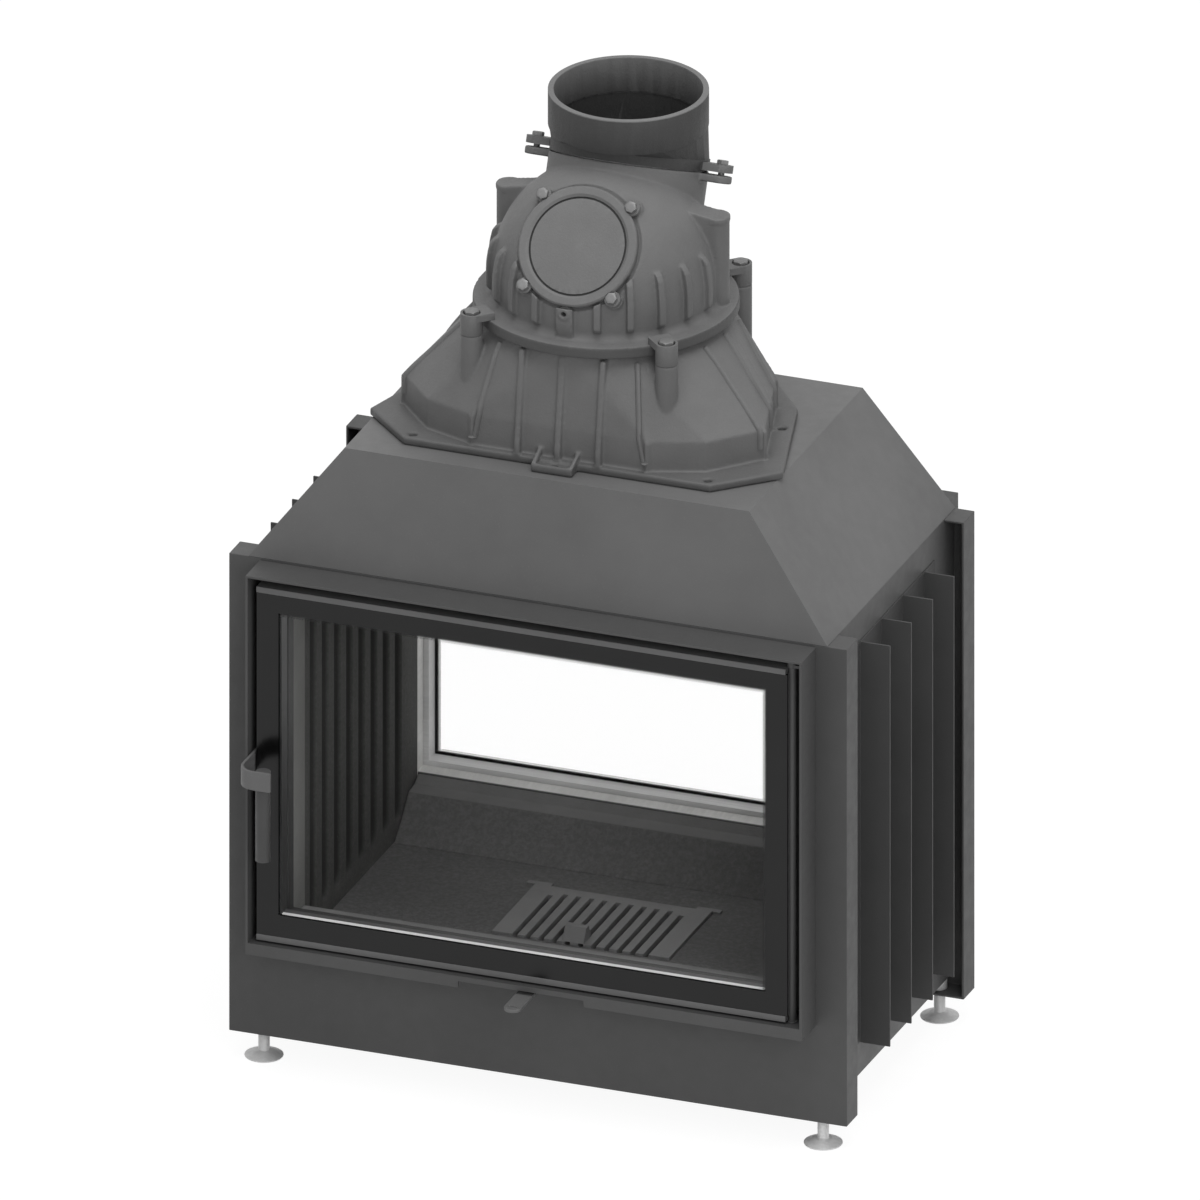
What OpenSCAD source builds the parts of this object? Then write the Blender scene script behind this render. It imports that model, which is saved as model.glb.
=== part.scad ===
// See-through fireplace insert with a door on the front and on the rear.
// The origin is on the floor under the middle of the casing.
// X points right, Y points to the rear door, Z points up, all in millimetres.

/* [Casing] */
// Width of the front and rear panels
panel_w = 811; // [790:1:860]
// Height of the front and rear panels
panel_h = 643; // [630:1:700]
// Depth of the folded edges of the panels
panel_d = 38; // [28:1:60]
// Depth over the two panel faces
body_d = 442; // [430:1:520]
// How far the side walls lie inside the edges of the panels
side_inset = 25.5; // [20:0.5:30]
// Thickness of the casing sheet
sheet = 3; // [2:0.5:4]
// Height of the panels above the floor
foot_gap = 36; // [30:1:60]
// Height of the bottom tray above the lower edge of the panels
tray_rise = 20; // [18:1:40]

/* [Cooling fins] */
// Number of fins on each side
fin_count = 4; // [2:1:6]
// Distance between fins
fin_pitch = 73.6; // [50:0.2:80]
// How far the fins stand out past the panels
fin_reach = 15; // [5:1:40]
// Thickness of a fin
fin_t = 2.5; // [2:0.5:5]
// Height of the fins
fin_h = 540; // [400:5:560]
// Height of the lower end of the fins above the panels' lower edge
fin_rise = 64; // [40:1:70]

/* [Door surround] */
// How far the box frame round a door lies inside the edges of the panel
surround_inset = 40.5; // [38:0.5:60]
// Outside height of the box frame round a door
surround_h = 510; // [504:1:512]
// How far the box frame stands out from the panel
surround_d = 50; // [48:1:70]
// Height of the box frame above the panels' lower edge
surround_rise = 130; // [126:1:131]
// Height of the lip under a door
lip_h = 15.5; // [15.5:0.5:17]
// Height of the notch in the lip for the air lever
notch_h = 8.6; // [7:0.2:9]
// How far the notch reaches to the left
notch_left = 86; // [80:1:140]
// How far the notch reaches to the right
notch_right = 79; // [60:1:140]

/* [Doors] */
// Gap between the door and the frame at the handle
gap_handle = 8; // [8:0.5:10]
// Gap between the glass and the frame at the hinge
gap_hinge = 19; // [19:0.5:22]
// Gap above the door
gap_top = 13; // [12:0.5:18]
// Gap under the door
gap_bottom = 2.5; // [2.5:0.5:4]
// How far the glass lies behind the front edge of the box frame
door_recess = 9; // [8:0.5:12]
// Thickness of the glass
glass_t = 4; // [4:0.5:5]
// Height of the rails above and below the glass
rail_h = 8; // [6:0.5:10]
// Thickness of the folded door profile
profile_t = 3; // [2:0.5:4]
// Thickness of the pressed rope seal
seal_t = 3; // [2:0.5:4]
// Width of the rope seal
seal_w = 12; // [8:1:14]
// Radius of the hinge rod
rod_r = 3.5; // [3:0.5:4]
// Radius of the hinge tube
tube_r = 5; // [5:0.5:6]

/* [Firebox] */
// How far the faces of the side linings lie inside the box frame
fire_inset = 39; // [38:0.5:50]
// Height of the doorway sill above the floor
sill_z = 212; // [206:1:214]
// Height of the top of the doorway above the floor
head_z = 632; // [600:1:634]
// Height of the hearth above the floor
hearth_z = 152.5; // [148:0.5:156]
// Thickness of the hearth slab
hearth_t = 30; // [26:1:36]
// Thickness of the side linings
lining_t = 30; // [25:1:34]
// Number of flutes in each lining
flute_count = 8; // [4:1:8]
// Distance between flutes
flute_pitch = 42; // [30:1:42]
// Width of a flute
flute_w = 24; // [16:1:28]
// Depth of a flute
flute_d = 11; // [4:1:12]
// Thickness of the baffle plate
baffle_t = 20; // [15:1:25]

/* [Grate] */
// Width of the grate
grate_w = 232; // [220:1:250]
// Depth of the grate
grate_d = 149; // [140:1:160]
// Thickness of the grate
grate_t = 10; // [8:1:12]
// Number of slots in the grate
slot_count = 11; // [5:1:11]
// Distance between slots
slot_pitch = 17.2; // [14:0.2:17.6]
// Width of a slot
slot_w = 6.5; // [5:0.5:8]
// Height of the ash pan
pan_h = 42; // [30:1:50]

/* [Handles and air lever] */
// Thickness of the handle strap
strap_t = 3.5; // [3:0.25:4]
// Height of the handle strap
strap_h = 25; // [20:1:30]
// How far the handle stands out from the panel
handle_reach = 97; // [92:1:110]
// Diameter of the handle rod
grip_d = 18.7; // [14:0.1:20]
// Length of the handle rod
grip_l = 120; // [80:1:160]
// Height of the middle of the strap above the floor
handle_z = 423.5; // [380:0.5:460]
// Width of the air lever
lever_w = 22; // [16:1:26]
// Thickness of the air lever
lever_t = 4; // [3:0.5:4]

/* [Feet] */
// How far the middle of a foot lies inside the edge of the panels
foot_inset = 38.5; // [38.5:0.5:50]
// Radius of the threaded stem of a foot
stem_r = 7.25; // [6:0.25:8]
// Radius of the disc of a foot
foot_r = 24.15; // [18:0.05:26]

/* [Hood and casting] */
// Height of the sheet hood
hood_h = 151; // [120:1:180]
// Half the width of the top of the hood
hood_x = 265.5; // [260:0.5:300]
// Wall of the sheet hood
hood_t = 4; // [3:0.5:5]
// Thickness of the base flange of the casting
flange_t = 10.5; // [8:0.5:14]
// Wall of the casting
cast_t = 8; // [6:0.5:10]
// Height of the upright wall at the foot of the casting
skirt_h = 40; // [15:1:50]
// Height of the casting above the hood
cast_h = 149; // [130:1:180]
// Radius of the top ring of the casting
ring_r = 150; // [146:1:155]
// Distance of the chimney axis behind the middle
dome_y = 15; // [0:1:20]

/* [Dome] */
// Radius of the dome
dome_r = 140; // [136:1:142]
// Wall of the dome
dome_t = 7; // [5:0.5:9]
// Radius of the dome flange
rim_r = 164; // [160:1:164]
// Thickness of the dome flange
rim_t = 14; // [10:1:18]
// Height of the straight part of the dome
drum_h = 49; // [40:1:60]
// Number of places for ribs round the dome
rib_count = 22; // [12:2:24]
// Width of a rib
rib_w = 9; // [6:0.1:10]
// How far the ribs stand out
rib_out = 8; // [5:0.5:8]
// Radius of the inspection cover
cover_r = 76; // [70:1:78]
// Thickness of the inspection cover
cover_t = 10; // [8:0.5:12]
// Radius of the posts beside the dome
post_r = 16; // [12:0.5:16]
// Height of the posts above the dome flange
post_h = 119; // [100:1:125]
// Half the distance between two cover bolts
cover_bolt = 58; // [56:0.5:60]
// Tilt of the inspection cover from level
cover_tilt = 54.2; // [50:0.1:58]

/* [Flue outlet] */
// Outer radius of the flue collar
flue_r = 99; // [90:0.5:100]
// Wall of the flue collar
flue_t = 7; // [5:0.5:8]
// Height of the flue collar's rim above the floor
flue_top = 1237.5; // [1225:0.5:1260]
// Tilt of the joint between dome and outlet
joint_tilt = 22.5; // [20:0.5:25]
// Thickness of a lug at the outlet joint
lug_t = 9.5; // [8:0.5:12]
// Gap between two lugs at the outlet joint
lug_gap = 4; // [2:0.5:6]
// Height of the straight ring of the outlet above the joint
outlet_h = 13.5; // [10:0.5:16]

/* [Clearances] */
// Running clearance between moving pieces
clear = 0.3; // [0.3:0.05:0.5]

/* [Hidden] */

$fn = 48;
face_y = body_d / 2;
casing_top = foot_gap + panel_h;
panel_x = panel_w / 2;
side_x = panel_x - side_inset;
foot_x = panel_x - foot_inset;
tray_z = foot_gap + tray_rise;

surround_z = foot_gap + surround_rise;
surround_top = surround_z + surround_h;
surround_x = panel_x - surround_inset;
bay_x = surround_x - sheet;
fire_x = bay_x - fire_inset;
surround_y = face_y + surround_d;
lip_top = surround_z + lip_h;

door_left = -(bay_x - gap_handle);
door_right = bay_x - gap_hinge;
door_bottom = lip_top + gap_bottom;
door_top = surround_top - sheet - gap_top;
door_y = surround_y - door_recess;
glass_bottom = door_bottom + rail_h;
glass_top = door_top - rail_h;
glass_back = door_y - glass_t;
seat_d = 12;
seat_y = face_y + seat_d;
frame_back = seat_y + clear + seal_t;
stile_handle = 31;
stile_hinge = 26;
frame_low = glass_bottom + 28;
frame_high = glass_top - 20;
hinge_x = door_right + tube_r - 2;
hinge_y = glass_back - tube_r - 1;

sleeve = 7;
jamb_in_y = face_y - sleeve;
jamb_wall = 4;
jamb_rim = 29;

lining_x = fire_x + lining_t;
baffle_d = 2 * face_y - 142;

well_w = grate_w - 20;
well_d = grate_d - 20;
seat_in = 7.5;
grate_z = hearth_z - seat_in;
pan_gap = 3;

plate_z = casing_top + hood_h;
cast_z = plate_z + flange_t;
ring_z = plate_z + cast_h;
bolt_seat = 1.5;
clamp_xy = 128;
clamp_cap_r = 14;
jaw_z = ring_z + rim_t + clear;
drum_z = ring_z + drum_h;

seat_dist = sqrt(dome_r * dome_r - (cover_r + 4) * (cover_r + 4)) - 1.9;
gasket_t = 1;
joint_y = 94;
joint_z = drum_z + 113;
collar_z = joint_z + 51;

lever_z = surround_z - 0.4;
latch_y = glass_back - 12;
latch_x = -(bay_x - gap_handle / 2);
handle_y = face_y + handle_reach;
strap_bend = 22;

// Turns a front piece to its place on the rear face
module to_rear() {
    rotate([0, 0, 180]) children();
}

// Box given by its lowest and highest corners
module block(low, high) {
    translate(low) cube(high - low);
}

// Rectangular ring in the XZ plane between two depths
module ring_xz(x0, x1, z0, z1, left, right, low, high, y0, y1) {
    difference() {
        block([x0, y0, z0], [x1, y1, z1]);
        block([x0 + left, y0 - 1, z0 + low], [x1 - right, y1 + 1, z1 - high]);
    }
}

// Profile in the YZ plane pulled along X between two places
module pulled(x0, x1, points) {
    translate([x0, 0, 0]) rotate([90, 0, 90]) linear_extrude(x1 - x0) polygon(points);
}

// Round rod along X between two places
module rod_x(x0, x1, y, z, r) {
    translate([x0, y, z]) rotate([0, 90, 0]) cylinder(h = x1 - x0, r = r);
}

// Hexagon bolt head standing on the XY plane
module hex_head(across, height) {
    cylinder(h = height, r = across / sqrt(3), $fn = 6);
}

// Folded tray-like panel with its doorway and the slot of the air lever
module panel(with_slot) {
    color("#4c4c4c") difference() {
        block([-panel_x, -face_y, foot_gap], [panel_x, -face_y + panel_d, casing_top]);
        block([-panel_x + sheet, -face_y + sheet, foot_gap + sheet],
              [panel_x - sheet, -face_y + panel_d + 1, casing_top - sheet]);
        block([-fire_x - jamb_wall, -face_y - 1, sill_z - jamb_wall],
              [fire_x + jamb_wall, -face_y + sheet + 1, head_z + jamb_wall]);
        for (side = [-1, 1])
            translate([side * foot_x, -foot_y(), foot_gap - 1]) cylinder(h = sheet + 2, r = stem_r + 0.5);
        if (with_slot) lever_slot(-face_y - 1, -face_y + sheet + 1);
    }
}

// Distance of a foot from the middle of the casing, front to rear
function foot_y() = face_y - panel_d / 2 - 1;

// Slot that the air lever slides in
module lever_slot(y0, y1) {
    block([-notch_left, y0, lever_z - clear], [notch_right, y1, lever_z + lever_t + clear]);
}

module front_panel() {
    panel(true);
}

module rear_panel() {
    to_rear() panel(false);
}

// Side wall with a flange at its top that carries the hood
module side_wall() {
    color("#505050") {
        block([side_x - sheet, -face_y + sheet, tray_z], [side_x, face_y - sheet, casing_top - sheet]);
        block([side_x - 30, -face_y + panel_d, casing_top - sheet],
              [side_x, face_y - panel_d, casing_top]);
    }
}

module right_side_wall() {
    side_wall();
}

module left_side_wall() {
    mirror([1, 0, 0]) side_wall();
}

// Upright fins on a backing sheet
module fins() {
    fin_z = foot_gap + fin_rise;
    back_t = 1.5;
    half = (fin_count - 1) * fin_pitch / 2;
    color("#3a3a3a") {
        block([side_x, -half - fin_pitch / 2, fin_z], [side_x + back_t, half + fin_pitch / 2, fin_z + fin_h]);
        for (i = [0 : fin_count - 1])
            translate([side_x + back_t, -half + i * fin_pitch - fin_t / 2, fin_z])
                cube([panel_x + fin_reach - side_x - back_t, fin_t, fin_h]);
    }
}

module right_fins() {
    fins();
}

module left_fins() {
    mirror([1, 0, 0]) fins();
}

// Floor of the casing with a ring wall that carries the hearth
module base_tray() {
    wall_x = lining_x - 6;
    wall_y = face_y - 20;
    notch = 34;
    color("#404040") difference() {
        union() {
            block([-side_x + sheet, -face_y + sheet, tray_z],
                  [side_x - sheet, face_y - sheet, tray_z + sheet]);
            difference() {
                block([-wall_x, -wall_y, tray_z], [wall_x, wall_y, hearth_z - hearth_t]);
                block([-wall_x + sheet, -wall_y + sheet, tray_z - 1],
                      [wall_x - sheet, wall_y - sheet, hearth_z]);
            }
        }
        for (sx = [-1, 1], sy = [-1, 1])
            translate([sx * (side_x - notch / 2), sy * (face_y - notch / 2), tray_z])
                cube([notch, notch, 3 * sheet], center = true);
        translate([0, 0, tray_z - 1]) cylinder(h = sheet + 2, r = inlet_r() - 1.5);
    }
}

// Outer radius of the spigot for outside air
function inlet_r() = 62.5;

module air_inlet_collar() {
    length = tray_rise + 16;
    color("#8c8c8c") difference() {
        union() {
            translate([0, 0, tray_z - length]) cylinder(h = length, r = inlet_r());
            translate([0, 0, tray_z - 3]) cylinder(h = 3, r = inlet_r() + 12);
        }
        translate([0, 0, tray_z - length - 1]) cylinder(h = length + 2, r = inlet_r() - 1.5);
    }
}

// Slab with the seat of the grate
module hearth_slab() {
    low = hearth_z - hearth_t;
    color("#3a3a3a") difference() {
        block([-lining_x, -jamb_in_y, low], [lining_x, jamb_in_y, hearth_z]);
        block([-well_w / 2, -well_d / 2, low - 1], [well_w / 2, well_d / 2, hearth_z + 1]);
        block([-grate_w / 2 - 1, -grate_d / 2 - 1, grate_z],
              [grate_w / 2 + 1, grate_d / 2 + 1, hearth_z + 1]);
    }
}

// Steel box under the grate that holds the ash pan
module ash_well() {
    high = hearth_z - hearth_t;
    wall = 2;
    air_half = 32;
    air_low = tray_z + sheet + 4;
    air_high = pan_floor() - wall - 4;
    color("#454545") difference() {
        block([-well_w / 2 - wall, -well_d / 2 - wall, tray_z + sheet],
              [well_w / 2 + wall, well_d / 2 + wall, high]);
        block([-well_w / 2, -well_d / 2, pan_floor()], [well_w / 2, well_d / 2, high + 1]);
        block([-well_w / 2, -well_d / 2, tray_z], [well_w / 2, well_d / 2, pan_floor() - wall]);
        block([-well_w / 2 - wall - 1, -air_half, air_low], [well_w / 2 + wall + 1, air_half, air_high]);
        block([-air_half, -well_d / 2 - wall - 1, air_low], [air_half, well_d / 2 + wall + 1, air_high]);
    }
}

// Height of the floor of the ash well
function pan_floor() = tray_z + sheet + 26;

// Side lining with upright flutes
module lining() {
    half = (flute_count - 1) * flute_pitch / 2;
    flute_low = hearth_z + 66;
    flute_high = head_z - 12;
    depth_r = (flute_w * flute_w / 4 + flute_d * flute_d) / (2 * flute_d);
    color("#4a4a48") difference() {
        block([fire_x, -jamb_in_y, hearth_z], [lining_x, jamb_in_y, head_z + jamb_wall]);
        for (i = [0 : flute_count - 1])
            translate([fire_x + flute_d - depth_r, -half + i * flute_pitch, flute_low])
                cylinder(h = flute_high - flute_low, r = depth_r);
    }
}

module right_lining() {
    lining();
}

module left_lining() {
    mirror([1, 0, 0]) lining();
}

// Cast bank that rises from the hearth to the doorway, with a pocket for the air slide
module sill(with_pocket) {
    color("#3d3d3d") difference() {
        pulled(-fire_x, fire_x, [
            [-jamb_in_y, hearth_z], [-jamb_in_y, sill_z], [-jamb_in_y + 13, sill_z - 9],
            [-jamb_in_y + 34, sill_z - 11], [-jamb_in_y + 60, hearth_z + 20],
            [-jamb_in_y + 84, hearth_z]
        ]);
        if (with_pocket)
            block([-notch_left - slide_half() - 6, -jamb_in_y - 1, hearth_z - 1],
                  [notch_right + slide_half() + 6, -jamb_in_y + 26, lever_z + lever_t + 2]);
    }
}

// Half the width of the slide plate on the air lever
function slide_half() = 60;

module front_sill() {
    sill(true);
}

module rear_sill() {
    to_rear() sill(false);
}

// Seat that the door closes on, with a short sleeve through the panel
module jamb() {
    color("#8c8c88") difference() {
        union() {
            block([-fire_x - jamb_rim, -seat_y, sill_z - 22], [fire_x + jamb_rim, -face_y, head_z + 22]);
            block([-fire_x - jamb_wall, -face_y, sill_z - jamb_wall],
                  [fire_x + jamb_wall, -jamb_in_y, head_z + jamb_wall]);
        }
        pulled(-fire_x, fire_x, [
            [-seat_y - 1, sill_z + 3], [-jamb_in_y + 1, sill_z], [-jamb_in_y + 1, head_z],
            [-seat_y - 1, head_z]
        ]);
    }
}

module front_jamb() {
    jamb();
}

module rear_jamb() {
    to_rear() jamb();
}

// Box frame round a door, with a lip under it
module surround(with_notch) {
    color("#4a4a4a") difference() {
        union() {
            difference() {
                block([-surround_x, -surround_y, surround_z], [surround_x, -face_y, surround_top]);
                block([-bay_x, -surround_y - 1, surround_z - 1], [bay_x, -face_y + 1, surround_top - sheet]);
            }
            block([-bay_x, -surround_y, lip_top - sheet], [bay_x, -face_y, lip_top]);
            block([-bay_x, -surround_y, surround_z], [bay_x, -surround_y + sheet, lip_top]);
        }
        translate([hinge_x, -hinge_y, lip_top - sheet - 1]) cylinder(h = sheet + 2, r = rod_r + clear);
        if (with_notch)
            block([-notch_left, -surround_y - 1, surround_z - 1],
                  [notch_right, -surround_y + sheet + 1, surround_z + notch_h]);
    }
}

module front_surround() {
    surround(true);
}

module rear_surround() {
    to_rear() surround(false);
}

// Catch pin on the frame, over the nose of the handle strap
module catch_pin() {
    pin_y = -latch_y + 15;
    pin_z = handle_z + 9;
    color("#4a4a4a") {
        rod_x(-bay_x, -bay_x + gap_handle - 1.5, pin_y, pin_z, 2.5);
        rod_x(-bay_x, -bay_x + 1.2, pin_y, pin_z, 4.5);
    }
}

module front_catch_pin() {
    catch_pin();
}

module rear_catch_pin() {
    to_rear() catch_pin();
}

// Eye above the door that guides the top of the hinge rod
module hinge_bracket() {
    low = door_top + 0.4;
    color("#333333") difference() {
        union() {
            block([hinge_x, -hinge_y - 5, low], [bay_x, -hinge_y + 11, low + 4]);
            translate([hinge_x, -hinge_y, low]) cylinder(h = 8, r = tube_r + 1.5);
        }
        translate([hinge_x, -hinge_y, low - 1]) cylinder(h = 10, r = rod_r + clear);
    }
}

module front_hinge_bracket() {
    hinge_bracket();
}

module rear_hinge_bracket() {
    to_rear() hinge_bracket();
}

// Insulating plate over the fire, lying on the side linings
module baffle_plate() {
    color("#b8b09a")
        block([-lining_x, -baffle_d / 2, head_z + jamb_wall], [lining_x, baffle_d / 2, head_z + jamb_wall + baffle_t]);
}

// Solid shape between the casing top and the top of the hood
module hood_solid(inset, low, high) {
    hull() {
        block([-side_x + inset, -face_y + inset, low], [side_x - inset, face_y - inset, low + 0.5]);
        block([-hood_x + inset, -face_y + 31 + inset, high - 0.5], [hood_x - inset, face_y - 18 - inset, high]);
    }
}

module hood() {
    color("#666666") difference() {
        hood_solid(0, casing_top, plate_z);
        hood_solid(hood_t, casing_top - 0.5, plate_z - hood_t);
        translate([0, dome_y, casing_top]) cylinder(h = hood_h + 1, r = ring_r - 20);
        bolt_places() cylinder(h = 3 * hood_t, r = 4.2, center = true);
    }
}

// Right half of the outline of the base flange, from front to rear
plate_half = [[201, -156], [271, -88], [221, 96], [150, 186]];
// Right half of the outline of the casting's wall, from front to rear
wall_half = [[115, -147], [183, -122], [237, -62], [214, 20], [196, 86], [140, 150], [0, 170]];

// Closes a right half outline with its mirror image
function closed(half) = concat(half, [for (i = [len(half) - 1 : -1 : 0]) [-half[i][0], half[i][1]]]);

// Places of the four bolts that hold the casting on the hood
module bolt_places() {
    for (side = [-1, 1], place = [[193.5, -143], [223.5, 34]])
        translate([side * place[0], place[1], plate_z]) children();
}

// Outline of the casting's wall, drawn in about the chimney axis by a share
module wall_outline(share) {
    translate([0, dome_y]) scale(share) translate([0, -dome_y]) polygon(closed(wall_half));
}

// Solid shape of the casting between its base and the top ring
module casting_solid(share, ring, low, high) {
    translate([0, 0, low]) linear_extrude(cast_z + skirt_h - low) wall_outline(share);
    hull() {
        translate([0, 0, cast_z + skirt_h - 1]) linear_extrude(1) wall_outline(share);
        translate([0, dome_y, high - 1]) cylinder(h = 1, r = ring);
    }
}

// Places of the four clamps round the dome, each turned to the chimney axis
module clamp_places() {
    for (turn = [45 : 90 : 315])
        translate([0, dome_y, 0]) rotate([0, 0, turn]) translate([clamp_xy * sqrt(2), 0, 0]) children();
}

// Upright rib on the front of the casting with a sloping foot
module casting_rib(x, y, width) {
    top = ring_z - 4;
    pulled(x - width / 2, x + width / 2, [
        [y + 24, cast_z], [y - 9, cast_z], [y - 9, cast_z + 12], [y - 5, cast_z + skirt_h + 4],
        [dome_y - ring_r - 3, top], [dome_y - ring_r + 24, top]
    ]);
}

// Raised fold from a corner of the casting's wall to a turn round the top ring
module casting_fold(foot, turn) {
    width = 6;
    out = 2.5;
    head = [ring_r * cos(turn), dome_y + ring_r * sin(turn)];
    run = norm(head - foot);
    translate(foot) rotate([0, 0, atan2(head[1] - foot[1], head[0] - foot[0])])
        rotate([90, 0, 0]) translate([0, 0, -width / 2]) linear_extrude(width) polygon([
            [-out, cast_z - 1], [-out, cast_z + skirt_h - 2], [run - out, ring_z - 4],
            [run + 24, ring_z - 4], [30, cast_z - 1]
        ]);
}

// Bracket on the front of the base flange with two cheeks that rise to the wall
module casting_clip() {
    half = 27;
    front = plate_half[0][1] - 20;
    back = wall_half[0][1] + 7;
    floor_z = cast_z - 3;
    difference() {
        pulled(-half, half, [[front, plate_z], [front, cast_z], [back, cast_z + 15], [back, plate_z]]);
        block([-half + 5, front + 4, floor_z], [half - 5, back + 1, cast_z + 16]);
        translate([0, front + 12, plate_z - 1]) cylinder(h = flange_t, r = 4.5);
    }
}

module transition_casting() {
    color("#6b6b6b") difference() {
        union() {
            translate([0, 0, plate_z]) linear_extrude(flange_t) polygon(closed(plate_half));
            casting_solid(1, ring_r, cast_z, ring_z);
            for (x = [-53, 0, 53]) casting_rib(x, wall_half[0][1], 8);
            for (side = [0, 1], fold = [[0, -55], [2, -16], [3, 7], [4, 27]])
                mirror([side, 0, 0]) casting_fold(wall_half[fold[0]], fold[1]);
            clamp_places() translate([0, 0, cast_z]) cylinder(h = ring_z - 4 - cast_z, r = clamp_cap_r);
            casting_clip();
        }
        casting_solid(0.955, ring_r - cast_t - 2, plate_z - 1, ring_z - 14);
        translate([0, dome_y, ring_z - 16]) cylinder(h = 20, r = dome_r - dome_t);
        bolt_places() {
            translate([0, 0, -1]) cylinder(h = flange_t + 2, r = 4.2);
            translate([0, 0, bolt_seat]) cylinder(h = flange_t, r = 5.4);
        }
        clamp_places() translate([0, 0, ring_z - 50]) cylinder(h = 60, r = 5.2);
    }
}

// Screws sunk in the base flange
module casting_bolts() {
    color("#8a8a8a") bolt_places() {
        translate([0, 0, bolt_seat]) cylinder(h = flange_t / 2, r = 5.1);
        translate([0, 0, -hood_t]) cylinder(h = hood_t + bolt_seat, r = 4);
    }
}

// Cap on each pillar with a jaw that reaches over the dome flange
module clamp_jaws() {
    reach = clamp_xy * sqrt(2) - rim_r + 8;
    low = ring_z - 4;
    color("#6f6f6f") clamp_places() difference() {
        union() {
            translate([0, 0, low]) cylinder(h = jaw_z + 9 - low, r = clamp_cap_r);
            block([-reach, -clamp_cap_r, jaw_z], [0, clamp_cap_r, jaw_z + 9]);
        }
        translate([0, 0, low - 1]) cylinder(h = 60, r = 5.2);
        translate([0, 0, jaw_z + 4]) cylinder(h = 10, r = 11);
    }
}

module clamp_bolts() {
    low = ring_z - 48;
    color("#8a8a8a") clamp_places() {
        translate([0, 0, jaw_z + 4]) hex_head(17, 8);
        translate([0, 0, low]) cylinder(h = jaw_z + 4 - low, r = 5);
    }
}

// Weld nuts over the lower flanges of the panels, one for each foot
module foot_nuts() {
    color("#a0a0a0") for (sx = [-1, 1], sy = [-1, 1])
        translate([sx * (foot_x - 1), sy * foot_y(), foot_gap + sheet]) difference() {
            cylinder(h = 13, r = 10.4);
            translate([sx, 0, -1]) cylinder(h = 15, r = stem_r + 0.15);
        }
}

// Frame at the middle of the dome with Z along the axis of the inspection cover
module cover_frame() {
    translate([0, dome_y, drum_z]) rotate([cover_tilt, 0, 0]) children();
}

// Frame at the middle of the joint under the outlet with Z along the joint's axis
module joint_frame() {
    translate([0, joint_y, joint_z]) rotate([-joint_tilt, 0, 0]) children();
}

// Places of the bolts of the inspection cover
module cover_places() {
    for (sx = [-1, 1], sy = [-1, 1]) translate([sx * cover_bolt, sy * cover_bolt, 0]) children();
}

// Half profile of the outside of the dome, revolved about the chimney axis
module dome_profile() {
    fillet = 10;
    square([rim_r, rim_t]);
    square([dome_r, drum_h]);
    translate([0, drum_h]) intersection() {
        circle(dome_r);
        square(dome_r);
    }
    difference() {
        translate([dome_r - 1, rim_t - 1]) square(fillet + 1);
        translate([dome_r + fillet, rim_t + fillet]) circle(fillet);
    }
}

// Upright ribs round the foot of the dome
module dome_ribs() {
    step = 360 / rib_count;
    low = rim_t + 12;
    crest = dome_r + rib_out;
    for (i = [1 : rib_count - 1])
        if (abs(i * step - 180) > 40)
            rotate([0, 0, i * step - 90]) translate([0, rib_w / 2, 0]) rotate([90, 0, 0]) linear_extrude(rib_w)
                polygon(concat(
                    [[dome_r - 12, low - 6], [crest - 4, low], [crest, low + 5]],
                    [for (a = [0 : 5 : 15]) on_dome(crest, a)],
                    [on_dome(crest - 3, 18), on_dome(dome_r - 1, 20.5), on_dome(dome_r - 14, 20.5)]
                ));
}

// Point of the dome's half profile at a radius and an angle above its drum
function on_dome(radius, angle) = [radius * cos(angle), drum_h + radius * sin(angle)];

// Round post beside the dome with a cap and a sloping shoulder
module side_post() {
    top = rim_t + post_h;
    translate([dome_r - 2, 0, rim_t - 1]) cylinder(h = post_h + 1, r = post_r);
    translate([dome_r - 2, 0, top - 7]) cylinder(h = 7, r = post_r + 1);
    rotate([90, 0, 0]) translate([0, 0, -post_r]) linear_extrude(2 * post_r) polygon([
        [dome_r - 2, drum_h], [dome_r - 2, top], [dome_r - 42, top + 10], [dome_r - 42, drum_h]
    ]);
}

// Boss at the front of the dome for the flue gas sensor
module sensor_boss() {
    boss_y = dome_r + 9;
    boss_z = drum_h;
    pulled(-11, 11, [
        [-boss_y + 20, rim_t - 1], [-boss_y + 5, rim_t - 1], [-boss_y + 2, boss_z - 14],
        [-boss_y + 2, boss_z + 12], [-boss_y + 20, boss_z + 22]
    ]);
    translate([0, -boss_y, boss_z]) rotate([-90, 0, 0]) cylinder(h = 16, r = 7.5);
}

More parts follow.
